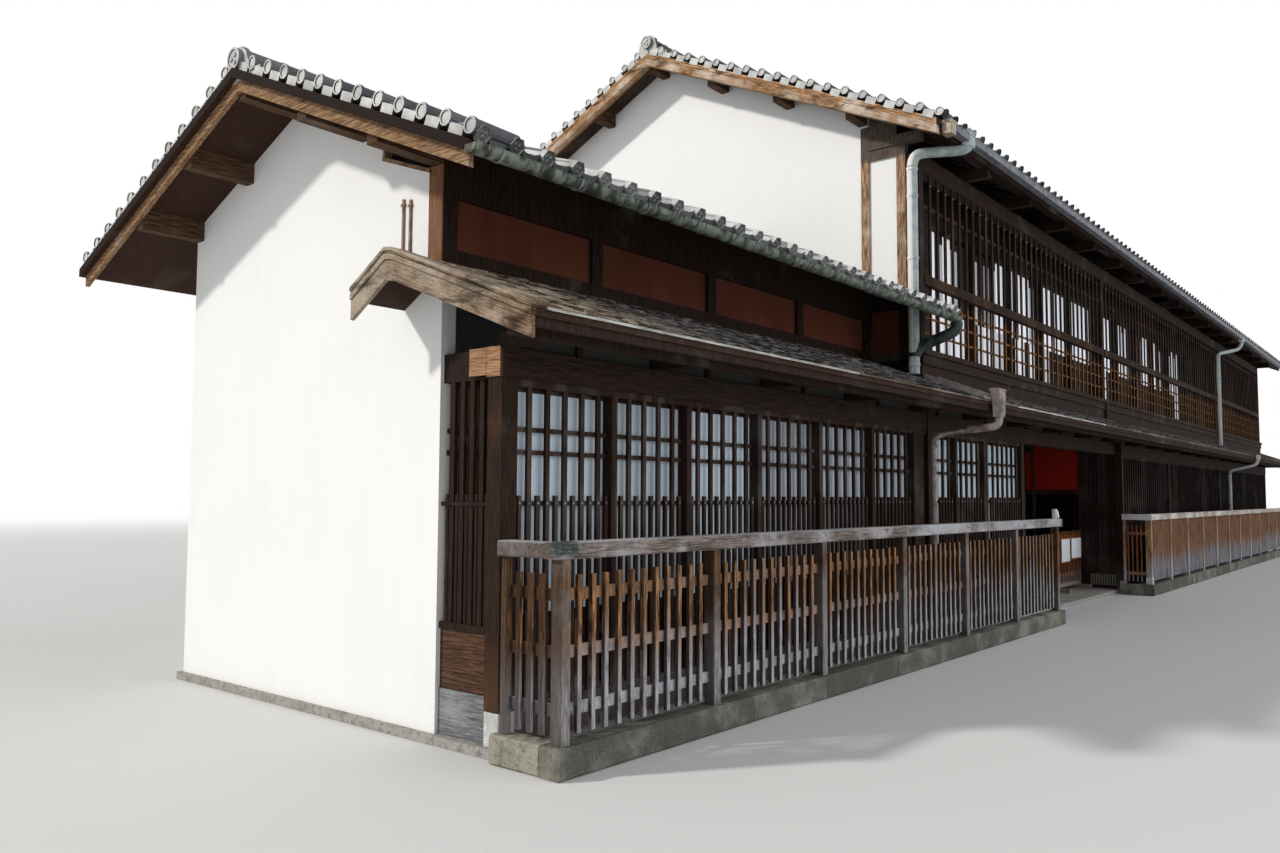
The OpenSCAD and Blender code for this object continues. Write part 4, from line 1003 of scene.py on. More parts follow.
@dataclass
class Studio:
    """Pale floor, white surround, a soft sun from behind the left end and a wide fill from the street."""

    sky: float = 0.52
    lamps: tuple[tuple[str, float, float, Point, Colour], ...] = (
        ("sun", 2.3, 4.0, (1.24, -0.86, -1.0), (1.0, 0.955, 0.89)),
        ("street_fill", 1.0, 50.0, (-0.35, 1.0, -0.50), (0.95, 0.975, 1.0)),
    )

    def build(self) -> None:
        """Makes the floor, the world and the lamps."""
        scene = bpy.context.scene
        scene.view_settings.view_transform = "Standard"
        world = bpy.data.worlds.new("studio")
        world.use_nodes = True
        tree = world.node_tree
        tree.nodes.clear()
        path = tree.nodes.new("ShaderNodeLightPath")
        seen = tree.nodes.new("ShaderNodeMath")
        seen.operation = "MAXIMUM"
        tree.links.new(path.outputs["Is Camera Ray"], seen.inputs[0])
        tree.links.new(path.outputs["Is Transmission Ray"], seen.inputs[1])
        both = tree.nodes.new("ShaderNodeMixShader")
        dim, white = tree.nodes.new("ShaderNodeBackground"), tree.nodes.new("ShaderNodeBackground")
        dim.inputs["Color"].default_value = (0.92, 0.96, 1.0, 1.0)
        dim.inputs["Strength"].default_value = self.sky
        white.inputs["Strength"].default_value = 1.0
        white.inputs["Color"].default_value = (1.0, 1.0, 1.0, 1.0)
        tree.links.new(seen.outputs[0], both.inputs[0])
        tree.links.new(dim.outputs[0], both.inputs[1])
        tree.links.new(white.outputs[0], both.inputs[2])
        tree.links.new(both.outputs[0], tree.nodes.new("ShaderNodeOutputWorld").inputs[0])
        scene.world = world
        for name, strength, angle, travel, colour in self.lamps:
            lamp = bpy.data.lights.new(name, "SUN")
            lamp.energy, lamp.angle, lamp.color = strength, math.radians(angle), colour
            holder = bpy.data.objects.new(name, lamp)
            holder.rotation_mode = "QUATERNION"
            holder.rotation_quaternion = Vector(travel).to_track_quat("-Z", "Y")
            scene.collection.objects.link(holder)
        self.floor()

    def floor(self) -> None:
        """Makes the floor, which fades to white far from the house."""
        g = Graph("studio_floor")
        fade = g.node("MixShader")
        white = g.node("Emission")
        white.inputs["Strength"].default_value = 1.0
        length = g.node("VectorMath", operation="LENGTH")
        g.link(g.place(shift=(-15.0, 0.0, 0.0)), length.inputs[0])
        g.feed(g.shader.inputs["Base Color"], (0.66, 0.655, 0.645, 1.0))
        g.shader.inputs["Roughness"].default_value = 0.9
        g.link(g.span(length.outputs["Value"], 26.0, 62.0), fade.inputs[0])
        g.link(g.shader.outputs[0], fade.inputs[1])
        g.link(white.outputs[0], fade.inputs[2])
        g.link(fade.outputs[0], [n for n in g.tree.nodes if n.type == "OUTPUT_MATERIAL"][0].inputs[0])
        mesh = bpy.data.meshes.new("studio_floor")
        mesh.from_pydata([(-150, -150, -0.002), (180, -150, -0.002), (180, 180, -0.002), (-150, 180, -0.002)],
                         [],
                         [(0, 1, 2, 3)])
        mesh.materials.append(g.material)
        floor = bpy.data.objects.new("studio_floor", mesh)
        bpy.context.scene.collection.objects.link(floor)


@dataclass
class TiledRoof:
    """Pan tiles on both slopes, eave ends, verge tiles and a stacked ridge."""

    name: str
    x0: float
    x1: float
    ridge_y: float
    eave_y: float
    peak: float
    slope: float
    rows: int
    columns: int
    sides: int
    layers: int
    ridge_w: float
    far_verge: bool
    cap: float

    LAID = {"slide": (0.002, 0.003, 0.001), "tilt": (0.008, 0.010, 0.006)}
    EDGED = {"slide": (0.002, 0.002, 0.002), "tilt": (0.01, 0.02, 0.02)}

    @property
    def angle(self) -> float:
        """Angle of the slope."""
        return math.atan(self.slope)

    @property
    def reach(self) -> float:
        """Length of the slope."""
        return (self.ridge_y - self.eave_y) / math.cos(self.angle)

    @property
    def width(self) -> float:
        """Width of a column."""
        return (self.x1 - self.x0) / self.columns

    @property
    def step(self) -> float:
        """Length of a row."""
        return self.reach / self.rows

    def start(self, row: float, x: float, lift: float = 0.010, rear: bool = False) -> Point:
        """Returns the point on the deck where a row starts."""
        along = row * self.reach / self.rows
        y = self.eave_y + along * math.cos(self.angle)
        z = self.peak - self.slope * (self.ridge_y - y) + lift
        return (x, 2 * self.ridge_y - y if rear else y, z)

    def course(self, name: str, size: tuple[int, int], start: tuple[float, ...], seed: int,
               jitter: dict[str, Point], shape: Form, finish: Material,
               rear: bool = False) -> bpy.types.Mesh:
        """Lays copies of a shape on one slope.

        Args:
            name: End of the mesh's name.
            size: Columns and rows.
            start: Row, x and, where it isn't the usual one, lift of the first copy.
            seed: Seed of the jitter.
            jitter: Random slide and tilt of each copy.
            shape: What is copied.
            finish: Its material.
            rear: Lays them on the rear slope.

        Returns:
            The copies as one mesh.
        """
        return Course(f"{self.name}_{name}", *size, (self.width, self.step), self.start(*start, rear=rear),
                      self.angle, math.pi if rear else 0.0, seed=seed, **jitter).lay(shape, finish)

    def tiles(self, finish: Material, cuts: tuple[tuple[int, int, int], ...],
              rear: int = 0) -> bpy.types.Object:
        """Lays the pan tiles.

        Args:
            finish: Their material.
            cuts: (first row, rows, columns) of each block on the front slope.
            rear: Columns of the rear slope, all where it is 0.
        """
        rear = rear or self.columns
        pan = TileShapes(self.width, self.step).pan()
        meshes = [self.course(f"front_{n}", (columns, rows), (row, self.x0), n, self.LAID, pan, finish)
                  for n, (row, rows, columns) in enumerate(cuts)]
        meshes.append(self.course("rear", (rear, self.rows - 1), (1, self.x0 + rear * self.width), 9,
                                  self.LAID, pan, finish, True))
        return ride(join(f"{self.name}_tiles", meshes), finish)

    def edges(self, finish: Material, plain: Material, eaves: int, rear: int = 0,
              lift: float = 0.0) -> None:
        """Lays the eave ends and the verge tiles. At the rear both start inside the edge of the deck.

        Args:
            finish: Material of the verge tiles.
            plain: Material of the eave ends.
            eaves: Eave ends of the front slope.
            rear: Eave ends of the rear slope, all columns where it is 0.
            lift: How far the discs of the eave stand up.
        """
        rear = rear or self.columns
        shapes = TileShapes(self.width, self.step)
        eave, verge = shapes.eave(self.sides, 0.032, lift), shapes.verge(self.cap)
        rear_eave, rear_verge, verge_lift = 0.39, 0.33, 0.035
        left, right = self.x0 - 0.03, self.x1 + 0.012
        ends = [
            self.course("eave", (eaves, 1), (0, self.x0), 4, self.EDGED, eave, plain),
            self.course("rear_eave", (rear, 1), (rear_eave, self.x0 + rear * self.width), 5, self.EDGED, eave,
                        plain, True),
        ]
        ride(join(f"{self.name}_eave_ends", ends), plain)
        mirror = Form()
        mirror.add([(-x, y, z) for x, y, z in verge.points], [tuple(reversed(f)) for f in verge.faces], 0.5)
        runs = [("verge", left, 0, 6, verge), ("rear_verge", left, rear_verge, 7, mirror)]
        if self.far_verge:
            runs += [("far_verge", right, 0, 8, mirror), ("far_rear_verge", right, rear_verge, 3, verge)]
        meshes = [self.course(name, (1, self.rows), (row, x, verge_lift), seed, self.EDGED, shape, finish,
                              row > 0)
                  for name, x, row, seed, shape in runs]
        ride(join(f"{self.name}_verge_tiles", meshes), finish)

    def ridge(self, form: Form, ends: Form, end: float) -> None:
        """Adds the stacked ridge up to end and its round cap to form, and the end ornaments to ends."""
        y, base = self.ridge_y, self.peak + 0.012
        joint = 0.30
        count = max(1, round((end - self.x0) / joint))
        step = (end - self.x0 - 0.10) / count
        layer, inset = 0.034, 0.010
        for k in range(self.layers):
            half = self.ridge_w / 2 - inset * k
            z = base + layer * k
            for i in range(count):
                x = self.x0 + 0.05 + step * (i + 0.5 * (k % 2))
                if k % 2 and i == count - 1:
                    continue
                form.box((x + 0.001, y - half, z), (x + step - 0.001, y + half, z + 0.027), 0.006)
        top = base + layer * self.layers - 0.006
        out, up = TO_RIGHT, UP
        for i in range(count):
            form.disc((self.x0 + 0.05 + step * i, y, top), out, up,
                      [(0.056, 0.0), (0.056, step - 0.04), (0.062, step - 0.038), (0.062, step - 0.004)], 14)
        for x, way in ((self.x0 + 0.022, -1.0), (end - 0.055, 1.0)):
            if way > 0 and not self.far_verge:
                continue
            self.ornament(ends, x, way, top)

    def face_boards(self, finish: Material, x: float, deck: float, drop: float) -> None:
        """Builds the pale boards over the left verge: one on the deck's edge and a deeper one under it.

        Args:
            finish: Their material.
            x: Face of the boards, just outside the deck's edge.
            deck: Thickness of the deck.
            drop: Depth of the lower board.
        """
        form = Form(15)
        y0, y1 = self.eave_y + 0.02, self.ridge_y
        for top, low, back, tint in ((0.003, deck - 0.002, 0.005, 0.15),
                                     (deck + 0.001, deck + drop, 0.069, 0.6)):
            for mirror in (False, True):
                ys = (y1, 2 * y1 - y0) if mirror else (y0, y1)
                zs = [self.peak - self.slope * abs(self.ridge_y - y) for y in ys]
                form.prism([(ys[0], zs[0] - low), (ys[1], zs[1] - low),
                            (ys[1], zs[1] - top), (ys[0], zs[0] - top)], x, x + back, tint)
        form.piece(f"{self.name}_face_boards", finish, "edge_timber")

    def ornament(self, form: Form, x: float, way: float, top: float) -> None:
        """Adds the plaque that closes the ridge, with its boss and its two flared feet."""
        y, low = self.ridge_y, self.peak - 0.11
        high = top + 0.055
        half = self.ridge_w / 2
        right = [(half + 0.02, low + 0.01), (half + 0.16, low - 0.01), (half + 0.20, low + 0.06),
                 (half + 0.13, low + 0.075), (half + 0.03, low + 0.13), (half - 0.01, high - 0.05),
                 (0.05, high)]
        left = [(-across, z) for across, z in reversed(right)]
        outline = [(y + across, z) for across, z in left[-2:] + right + left[:-2]]
        a, b = sorted((x, x + way * 0.05))
        form.prism(outline, a, b)
        out, up = TO_RIGHT * way, UP
        form.disc((x + way * 0.04, y, top - 0.04), out, up, [(0.082, 0.0), (0.086, 0.05), (0.070, 0.05),
                                                             (0.066, 0.042)], 16)
        for k in range(3):
            angle = 2 * math.pi * k / 3
            form.disc((x + way * 0.081, y + 0.032 * math.cos(angle), top - 0.04 + 0.032 * math.sin(angle)),
                      out, up, [(0.022, 0.0), (0.016, 0.008)], 8)
        for side in (-1, 1):
            form.disc((x + way * 0.04, y + side * (half + 0.12), low + 0.035), out, up,
                      [(0.042, 0.0), (0.044, 0.025), (0.032, 0.025), (0.030, 0.018)], 12)


@dataclass
class PentRoof:
    """Shingled pent roof: courses of shingles, the pale front edge, rafters under it and the gable boards."""

    front: float = -0.68
    edge_z: float = 2.64
    slope: float = 0.387
    exposure: float = 0.052
    width: float = 0.095

    def top(self, y: float) -> float:
        """Returns the height of the deck at y."""
        return self.edge_z + self.slope * (y - self.front)

    def shingles(self, finish: Material) -> None:
        """Lays the shingle courses on the three lengths of deck."""
        shape = Form()
        w, reach = self.width * 0.97, self.exposure * 2.2
        shape.add([(0, 0, 0.004), (w, 0, 0.004), (w, reach, 0.001), (0, reach, 0.001),
                   (0, 0, 0.012), (w, 0, 0.012), (w, reach, 0.004), (0, reach, 0.004)],
                  [(4, 5, 6, 7), (0, 1, 5, 4), (1, 2, 6, 5), (3, 0, 4, 7), (0, 3, 2, 1), (2, 3, 7, 6)], 0.5)
        angle = math.atan(self.slope)
        meshes = []
        for n, (x0, x1, back) in enumerate(((-0.172, 6.195, 0.585), (6.205, 30.08, -0.045),
                                            (30.085, 31.38, 0.585))):
            rows = int((back - self.front) / math.cos(angle) / self.exposure)
            columns = int((x1 - x0 - 0.05) / self.width)
            meshes.append(Course(f"shingle_course_{n}", columns, rows, (self.width, self.exposure),
                                 (x0, self.front + 0.004, self.top(self.front) + 0.003), angle, stagger=0.041,
                                 slide=(0.012, 0.005, 0.0015), tilt=(0.012, 0.015, 0.02),
                                 growth=(0.06, 0.08, 0.3), seed=n + 60).lay(shape, finish))
        ride(join("pent_shingles", meshes), finish)

    def edge(self, pale_and_highlight: Material, dull: Material) -> None:
        """Builds the strip under the first course: pale lengths with a painted sunlit highlight at the left
        and dull ones beyond.
        """
        forms = (Form(61), Form(64))
        x, draw = -0.312, random.Random(3)
        while x < 31.38:
            b = min(x + draw.uniform(1.5, 2.4), 31.40)
            # Lengths below x 1.9 and from 6.3 to 9.5 take the pale finish: a pale batten with painted sunlit
            # highlight.
            form = forms[0] if x < 1.9 or 6.3 < x < 9.5 else forms[1]
            form.prism([(self.front - 0.014, self.edge_z - 0.020), (self.front + 0.03, self.edge_z - 0.004),
                        (self.front + 0.03, self.edge_z + 0.012), (self.front - 0.014, self.edge_z - 0.004)],
                       x, b - 0.002)
            x = b
        forms[0].piece("pent_edge_strip", pale_and_highlight, "shingles")
        forms[1].piece("pent_edge_dull", dull, "shingles")

    def rafters(self, finish: Material) -> None:
        """Builds the rafters and the board joints under the deck."""
        form = Form(62)
        y0, y1 = self.front + 0.055, 0.035
        low = 0.06
        for i in range(88):
            x = -0.33 + i * RAFTER_PITCH
            form.prism([(y0, self.top(y0) - low - 0.028), (-0.545, self.top(-0.545) - low - 0.028),
                        (-0.545, self.top(-0.545) - low), (y0, self.top(y0) - low)], x, x + 0.030)
            form.prism([(-0.455, self.top(-0.455) - low - 0.032), (y1, self.top(y1) - low - 0.032),
                        (y1, self.top(y1) - low), (-0.455, self.top(-0.455) - low)], x, x + 0.030)
        for y in (-0.34, -0.21, -0.08):
            form.prism([(y, self.top(y) - low - 0.004), (y + 0.012, self.top(y + 0.012) - low - 0.004),
                        (y + 0.012, self.top(y + 0.012) - low), (y, self.top(y) - low)], -0.39, 31.39)
        form.piece("pent_rafters", finish, "dark_timber")

    def strip(self, form: Form, x0: float, x1: float, drop: float, thick: float, start: float = 0.0,
              tint: float | None = None) -> None:
        """Adds a board that follows the slope and folds down behind the wall line.

        Args:
            form: Where the board goes.
            x0: Its left side.
            x1: Its right side.
            drop: Height of its top under the deck's top, negative over it.
            thick: Its height.
            start: How far it runs past the deck's front edge.
            tint: Its shade.
        """
        tops = [(self.front - start, self.top(self.front - start)), (0.56, self.top(0.56)),
                (0.64, self.top(0.6) - 0.004),
                (1.0, self.top(0.6) - 0.22)]
        upper = [(y, z - drop) for y, z in tops]
        lower = [(y, z - drop - thick) for y, z in reversed(tops)]
        form.prism(list(reversed(upper + lower)), x0, x1, tint)

    def gable(self, finish: Material, top: Material) -> None:
        """Builds the layered boards of the left end and the cover strip beside the shingles."""
        form, cover = Form(63), Form(65)
        self.strip(form, -0.445, -0.315, -0.026, 0.022, 0.022, 0.9)
        self.strip(form, -0.435, -0.315, -0.003, 0.014, 0.006, 0.0)
        self.strip(cover, -0.313, -0.175, -0.014, 0.013, -0.004)
        self.strip(form, -0.440, -0.402, 0.016, 0.036, 0.014, 0.6)
        self.strip(form, -0.430, -0.400, 0.058, 0.126, 0.004, 0.45)
        self.strip(form, -0.426, -0.400, 0.040, 0.030, 0.0, 0.0)
        form.piece("pent_gable_boards", finish, "edge_timber", ("pent_bargeboard",))
        cover.piece("pent_cover_strip", top, "shingles")


@dataclass
class Screens:
    """White panes behind the bars, with their wooden frames, and the nails of the street lattice."""

    panes: tuple[tuple[float, float], ...] = (
        (0.13, 1.056), (1.056, 1.93), (1.93, 2.926), (2.926, 3.97), (3.97, 5.034), (5.034, 6.057),
        (6.475, 7.18), (7.18, 8.135), (8.135, 9.41))
    pane_low: float = 0.842
    pane_top: float = 2.283
    face: float = 0.702
    back: float = 0.710
    low: float = 3.452
    middle: float = 4.05
    top: float = 5.083
    lower_paper: tuple[tuple[float, float], ...] = ((10.5, 0.8), (13.0, 0.45), (HOUSE_LEN, 0.1))
    bay: float = 0.985
    cells: int = 4
    kinds: tuple[tuple[float | None, float, int], ...] = (
        (0.0, 5.083, 8), (0.12, 5.083, 2), (0.62, 4.96, 6), (0.86, 4.96, 1), (None, 5.083, 3))

    def street(self, finish: Material, frame_finish: Material) -> None:
        """Builds the panes and frames of the ground floor."""
        white, wood = Form(71), Form(72)
        for x0, x1 in self.panes:
            white.box((x0 + 0.001, 0.082, self.pane_low), (x1 - 0.001, 0.090, self.pane_top))
            for a, b, z0 in ((x0, x0 + 0.032, self.pane_low), (x1 - 0.032, x1, self.pane_low),
                             (x0 + 0.032, x1 - 0.032, self.pane_top - 0.025)):
                wood.box((a + 0.001, 0.066, z0), (b - 0.001, 0.0815, self.pane_top), 0.002)
        white.piece("street_panes", finish, "paper", ("paper_screens",))
        wood.piece("pane_frames", frame_finish, "lattice_timber")

    def upstairs(self, finish: Material, frame_finish: Material) -> None:
        """Builds the screens upstairs: thin uprights a bay apart, with cells of paper or board between them.

        Each of the kinds is a shade, or None for a board, a top and a share. A fixed seed draws them. Each
        row of lower_paper is the chance of paper in the lower cells left of that x.
        """
        white, wood = Form(73), Form(74)
        draw = random.Random(12)
        shares = [share for _, _, share in self.kinds]
        left, first, right = 6.33, 6.35, 23.39
        pitch = self.bay / self.cells
        count = int((right - first) / pitch)
        edges = [left] + [first + i * pitch for i in range(1, count + 1)] + [right]
        for a, b in zip(edges, edges[1:]):
            shade, top, _ = draw.choices(self.kinds, shares)[0]
            paper = shade is not None
            (white if paper else wood).box((a + 0.001, self.face, self.middle), (b - 0.001, self.back, top),
                                           0.0, shade if paper else None)
            if paper and top < self.top:
                wood.box((a + 0.001, self.face, top + 0.001), (b - 0.001, self.back + 0.002, self.top))
            low, high = (a + 0.001, self.face, self.low), (b - 0.001, self.back, self.middle - 0.001)
            if draw.random() < next(chance for limit, chance in self.lower_paper if a < limit):
                white.box(low, high, 0.0, draw.choice((0.0, 0.1, 0.4)))
            else:
                wood.box(low, high)
        for i in range(18):
            x = first + i * self.bay
            wood.box((x - 0.02, 0.685, self.low), (x + 0.02, self.face - 0.0005, self.top))
        wood.box((30.868, 0.590, 2.95), (31.003, 0.5995, 5.70))
        wood.box((29.985, 0.112, 3.062), (30.078, 0.598, 5.435), 0.004)
        wood.prism([(0.0, 5.440), (0.598, 5.440), (0.598, 5.990), (0.0, 5.715)], 30.0, 30.03)
        wood.prism([(-0.05, 5.56), (0.598, 5.56), (0.598, 5.990), (-0.05, 5.690)], 30.96, 30.99)
        white.piece("upper_panes", finish, "paper")
        wood.piece("upper_pane_frames", frame_finish, "dark_timber")

    def hooks(self, finish: Material) -> None:
        """Builds the pegs near the tops of the upstairs bars."""
        form = Form(76)
        pitch, bar_y, peg_z = 0.2189, 0.001, 5.13
        out, up = TO_STREET, UP
        for start, end in ((6.31, 13.47), (13.58, 23.3), (23.41, 29.97)):
            count = round((end - start) / pitch)
            step = (end - start) / count
            for i in range(1, count):
                form.disc((start + i * step, bar_y, peg_z), out, up,
                          [(0.011, 0.0), (0.010, 0.010), (0.005, 0.014)], 7)
        form.piece("bar_pegs", finish, "rain_metal")

    def nails(self, finish: Material) -> None:
        """Builds the round nail heads where the bars cross the upper rail of the slats."""
        form = Form(75)
        rail_y, rail_z = 0.021, 1.545
        runs = ((0.257, 0.919, 5), (1.251, 1.76, 4), (2.09, 2.769, 5), (3.109, 3.803, 5), (4.154, 4.847, 5),
                (5.196, 5.859, 5), (6.848, 7.014, 2), (7.387, 7.902, 4), (8.437, 9.29, 6))
        out, up = TO_STREET, UP
        for first, last, count in runs:
            step = (last - first) / (count - 1)
            for i in range(2 * count + 1):
                x = first + (i - 1) * step / 2
                form.disc((x, rail_y, rail_z), out, up, [(0.010, 0.0), (0.008, 0.004), (0.003, 0.006)], 7)
        form.piece("lattice_nails", finish, "rain_metal")


@dataclass
class Fence:
    """Street fences: posts, capping rail, pickets on three rails, and the boarded right fence."""

    front: float = -0.586
    foot: float = 0.18
    post_w: float = 0.08
    bays: int = 6
    bay: float = 1.5
    right_x: float = 13.87
    right_bays: int = 12
    start: float = -0.065
    post_top: float = 1.234
    cap_low: float = 1.232
    cap_top: float = 1.330
    rails: tuple[float, float, float] = (0.330, 0.660, 0.988)

    @property
    def end(self) -> float:
        """Right side of the left fence's last post."""
        return self.post_w + self.start + self.bays * self.bay

    def left(self, finishes: dict[str, Material]) -> None:
        """Builds the open left fence with its return at the corner."""
        posts, rails, pickets = Form(5), Form(6), Form(7)
        draw = random.Random(17)
        y = self.front
        for i in range(self.bays + 1):
            x = self.start + i * self.bay
            posts.box((x, y, self.foot), (x + self.post_w, y + 0.085, self.post_top), 0.005)
        posts.box((self.start, -0.130, self.foot), (-0.015, -0.080, self.post_top), 0.004, 0.2)
        for a, b, tint in ((-0.100, 1.47, 0.3), (1.473, 4.462, 0.5), (4.466, self.end + 0.08, 1.0)):
            rails.box((a, y - 0.020, self.cap_low), (b, y + 0.110, self.cap_top), 0.008, tint)
        rails.box((-0.100, y + 0.111, 1.234), (0.030, -0.080, 1.327), 0.008, 0.3)
        for i in range(self.bays):
            x0 = self.start + self.post_w + i * self.bay
            x1 = x0 + self.bay - self.post_w
            for k in range(11):
                x = x0 + 0.08 + 0.12 * k + draw.uniform(-0.003, 0.003)
                foot = 0.222 + draw.uniform(-0.004, 0.008)
                push = draw.uniform(-0.002, 0.002)
                pickets.box((x, y + 0.021 + push, foot),
                            (x + 0.038, y + 0.048 + push, 1.14 + draw.uniform(-0.005, 0.005)), 0.003)
            for z in self.rails:
                pickets.box((x0, y + 0.0485, z), (x1, y + 0.066, z + 0.072), 0.003)
        for k in range(3):
            pickets.box((-0.058, -0.235 - k * 0.097, 0.222), (-0.031, -0.199 - k * 0.097, 1.145), 0.003)
        for z in self.rails:
            pickets.box((-0.0305, y + 0.085, z), (-0.012, -0.130, z + 0.072), 0.003)
        posts.piece("fence_post_bars", finishes["post_grey_timber"], "fence_timber")
        rails.piece("fence_cap_rails", finishes["rail_timber"], "fence_timber")
        pickets.piece("fence_picket_bars", finishes["picket_timber"], "fence_timber", ("fence_pickets",))

    def fittings(self, finishes: dict[str, Material]) -> None:
        """Builds the sheets on both ends of the cap, their nails and the small end box."""
        y = self.front
        plate, heads, pale = Form(13), Form(14), Form(15)
        plate.box((-0.1025, y - 0.0225, 1.252), (0.046, y + 0.055, 1.3325), 0.004, 0.2)
        plate.box((self.end + 0.028, y - 0.0225, 1.229), (self.end + 0.0825, y + 0.1125, 1.3325), 0.004, 0.9)
        out, up, left = TO_STREET, UP, TO_LEFT
        ring = [(0.0045, 0.0), (0.0035, 0.0025)]
        for i in range(9):
            for z in (1.258, 1.280, 1.303, 1.325):
                heads.disc((-0.094 + i * 0.0165, y - 0.0222, z), out, up, ring, 6)
        for i in range(4):
            for z in (1.258, 1.291, 1.325):
                heads.disc((-0.1022, y - 0.012 + i * 0.018, z), left, up, ring, 6)
        for i in range(self.bays + 1):
            for dx in (0.018, 0.058):
                heads.disc((self.start + i * self.bay + dx, y - 0.0195, 1.285), out, up,
                           [(0.007, 0.0), (0.006, 0.003)], 7)
        pale.box((self.end - 0.040, y + 0.020, 1.331), (self.end + 0.020, y + 0.070, 1.452), 0.006)
        pale.prism([(y - 0.005, 1.345), (y + 0.018, 1.345), (y + 0.018, 1.43), (y + 0.008, 1.43)],
                   self.end - 0.030, self.end + 0.010)
        plate.piece("cap_sheets", finishes["plate_metal"], "rain_metal")
        heads.piece("cap_nails", finishes["nail_metal"], "rain_metal")
        pale.piece("end_box", finishes["notice_paper"], "rain_metal")

    def right(self, finishes: dict[str, Material]) -> None:
        """Builds the boarded right fence with its return beside the entry."""
        boards, posts, rails = Form(8), Form(9), Form(10)
        draw = random.Random(23)
        y, x0 = self.front, self.right_x
        width = (HOUSE_LEN - x0 - 0.09) / self.right_bays
        for i in range(self.right_bays + 1):
            x = x0 + i * width
            posts.box((x, y, self.foot), (x + 0.09, y + 0.09, self.post_top), 0.006, 0.0 if i == 0 else None)
            if i == self.right_bays:
                break
            a = x + 0.092
            while a < x + width - 0.03:
                b = min(a + draw.uniform(0.10, 0.145), x + width - 0.002)
                if x + width - b < 0.05:
                    b = x + width - 0.002
                push = draw.uniform(-0.002, 0.003)
                boards.box((a + 0.0015, y + 0.020 + push, 0.232), (b - 0.0015, y + 0.043 + push, 1.232),
                           0.003)
                a = b
        for z in (0.30, 0.66, 1.05):
            boards.box((x0 + 0.09, y + 0.046, z), (HOUSE_LEN - 0.09, y + 0.080, z + 0.06), 0.004)
        cuts = [x0 - 0.04, 17.9, 21.6, 25.3, HOUSE_LEN]
        for a, b in zip(cuts, cuts[1:]):
            rails.box((a + 0.001, y - 0.020, self.cap_low), (b - 0.001, y + 0.110, self.cap_top), 0.008)
        rails.box((x0 - 0.04, y + 0.111, 1.234), (x0 + 0.09, -0.155, 1.327), 0.008)
        posts.box((x0, -0.195, self.foot), (x0 + 0.045, -0.155, self.post_top), 0.003, 0.1)
        slim = Form(16)
        for k in range(1, 5):
            ry = y + 0.09 + k * 0.066
            slim.box((x0 + 0.008, ry - 0.011, 0.222), (x0 + 0.019, ry + 0.011, 1.145), 0.003)
        for z in (0.33, 0.985):
            slim.box((x0 + 0.0195, y + 0.09, z), (x0 + 0.042, -0.195, z + 0.05), 0.003)
        boards.piece("fence_board_run", finishes["board_timber"], "fence_board_timber", ("fence_boards",))
        posts.piece("right_fence_post_bars", finishes["right_post_timber"], "fence_timber",
                    ("fence_frames", "fence_returns"))
        slim.piece("right_fence_return_bars", finishes["barrier_timber"], "fence_timber")
        rails.piece("right_fence_cap_rails", finishes["sunny_rail_timber"], "fence_timber")

    def kerbs(self, finishes: dict[str, Material]) -> None:
        """Builds the stones under both fences."""
        form = Form(11)
        draw = random.Random(31)
        y0, y1 = self.front - 0.040, self.front + 0.130
        for x, end in ((-0.110, self.end + 0.09), (self.right_x - 0.040, HOUSE_LEN + 0.040)):
            while x < end - 0.01:
                reach = draw.uniform(0.95, 1.6)
                b = end if end - x - reach < 0.5 else x + reach
                form.box((x + 0.002, y0 + draw.uniform(0, 0.006), 0.0),
                         (b - 0.002, y1, self.foot - draw.uniform(0, 0.004)), 0.014, draw.uniform(0.45, 1.0))
                x = b
        form.box((-0.109, y1 + 0.003, 0.0), (0.050, -0.040, self.foot - 0.002), 0.012, 0.0)
        form.box((self.right_x - 0.039, y1 + 0.003, 0.0), (self.right_x + 0.110, -0.150, self.foot - 0.002),
                 0.012, 0.3)
        form.piece("kerb_stone_row", finishes["kerb_stone"], "kerb_stone", ("curb_stones",))


def rounded(path: list[Point], cut: float, steps: int = 5) -> list[Point]:
    """Returns a path whose corners are rounded within cut of each corner."""
    out = [path[0]]
    for before, corner, after in zip(path, path[1:], path[2:]):
        a, c, b = Vector(before), Vector(corner), Vector(after)
        p = c + (a - c).normalized() * min(cut, (a - c).length * 0.48)
        q = c + (b - c).normalized() * min(cut, (b - c).length * 0.48)
        for k in range(steps + 1):
            t = k / steps
            out.append(tuple(p * (1 - t) ** 2 + c * 2 * t * (1 - t) + q * t ** 2))
    out.append(path[-1])
    return out


